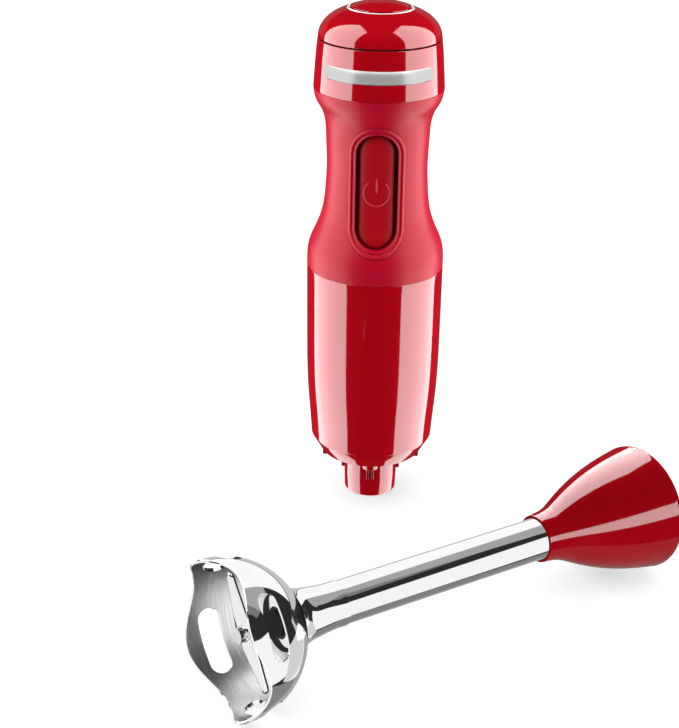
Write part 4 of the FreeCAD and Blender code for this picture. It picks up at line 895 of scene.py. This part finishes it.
# ---------------------------------------------------------------- blade
# Stamped stainless blade with two tapered wings that lean back into the bell,
# held on the shaft by a low flat nut.
BLADE_TIP = 23.3
BLADE_HALF = 6.8
BLADE_TIP_HALF = 3.0
BLADE_THICKNESS = 1.2
BLADE_DEPTH = 8.1
BLADE_SWEEP = math.radians(3)
BLADE_ANGLE = math.radians(52)
blade_rings = []
for k in range(-30, 31):
    reach = abs(k) / 30 * BLADE_TIP
    straight = BLADE_TIP - BLADE_TIP_HALF
    half = BLADE_HALF + (BLADE_TIP_HALF - BLADE_HALF) * min(reach / straight, 1)
    if reach > straight:
        half = math.sqrt(max(BLADE_TIP_HALF ** 2 - (reach - straight) ** 2, 0.02))
    lift = reach * math.tan(BLADE_SWEEP)
    flat = half - min(1.3, half / 2)
    ring = [(math.copysign(reach, k), y, BLADE_DEPTH + lift + z) for y, z in outline(
        (-half, 0.45, 0.05), (-flat, 0, 0.1), (flat, 0, 0.1), (half, 0.45, 0.05),
        (half, BLADE_THICKNESS, 0.1), (-half, BLADE_THICKNESS, 0.1))]
    blade_rings.append(ring)
blade = skin("blade_wings", blade_rings, False, 25)
blade.data.transform(Matrix.Rotation(BLADE_ANGLE, 4, "Z"))
lay_down(blade)
fit(blade, polished_steel, "polished_steel", "blade_rotor", steel_pieces, "blade")
nut = turned("blade_cap_nut", outline(
    (0, 7.3), (1.7, 7.4), (2.3, 7.6, 0.2), (2.45, 7.95), (2.7, 7.95), (2.8, 7.75, 0.1), (3.2, 7.85, 0.1),
    (3.3, 8.3), (0, 8.3)), 64)
lay_down(nut)
fit(nut, polished_steel, "polished_steel", "blade_rotor", steel_pieces, "blade_nut")

# ---------------------------------------------------------------- pieces inside
# Motor, switch, bearings and drive show only when the unit is opened or looked
# into, and the cord inlet shows at the back. Each has its own metal's or plastic's
# finish.
finishes = {
    "black_plastic": finish("black_plastic", (0.03, 0.03, 0.033), 0.45, mottle=0.15, grain=1500, bump=0.15),
    "dark_rubber": finish("dark_rubber", (0.03, 0.03, 0.03), 0.6, mottle=0.15, grain=1200, bump=0.3),
    "motor_steel": finish("motor_steel", (0.42, 0.43, 0.45), 0.4, 1.0, mottle=0.1, grain=80, bump=0.3,
                          stretch=(1, 1, 30)),
    "bright_steel": finish("bright_steel", (0.66, 0.66, 0.68), 0.18, 1.0, mottle=0.05, grain=300, bump=0.05),
    "copper_winding": finish("copper_winding", (0.72, 0.3, 0.12), 0.3, 1.0, mottle=0.15, grain=120, bump=0.6,
                             stretch=(1, 1, 20)),
    "brass": finish("brass", (0.78, 0.58, 0.25), 0.3, 1.0, mottle=0.06, grain=500, bump=0.05),
    "bronze": finish("bronze", (0.55, 0.36, 0.16), 0.4, 1.0, mottle=0.12, grain=900, bump=0.2),
    "carbon": finish("carbon", (0.04, 0.04, 0.045), 0.5, mottle=0.2, grain=1500, bump=0.3),
    "board_green": finish("board_green", (0.02, 0.18, 0.07), 0.35, mottle=0.15, grain=900, bump=0.05),
    "grey_plastic": finish("grey_plastic", (0.3, 0.31, 0.33), 0.45, mottle=0.06, grain=1500, bump=0.12),
}
finishes["polished_steel"] = polished_steel
finishes["chrome"] = chrome
finishes["gloss_red"] = gloss_red
finishes["satin_red"] = satin_red
finishes["button_red"] = button_red
node_body = {node: body for body, held in frame["record"]["behaviour"]["bodies"].items() for node in held}
node_finish = {part["node"]: part["material_slot"] for part in frame["record"]["subparts"]}
arm_bodies = ("blending_arm", "blade_rotor")
for name, node in nodes.items():
    if not node.material_slots:
        node.data.materials.append(None)
    for holder in node.material_slots:
        holder.material = finishes[node_finish[name]]
    lit = steel_pieces if node_body[name] in arm_bodies else body_pieces
    lit.objects.link(node)
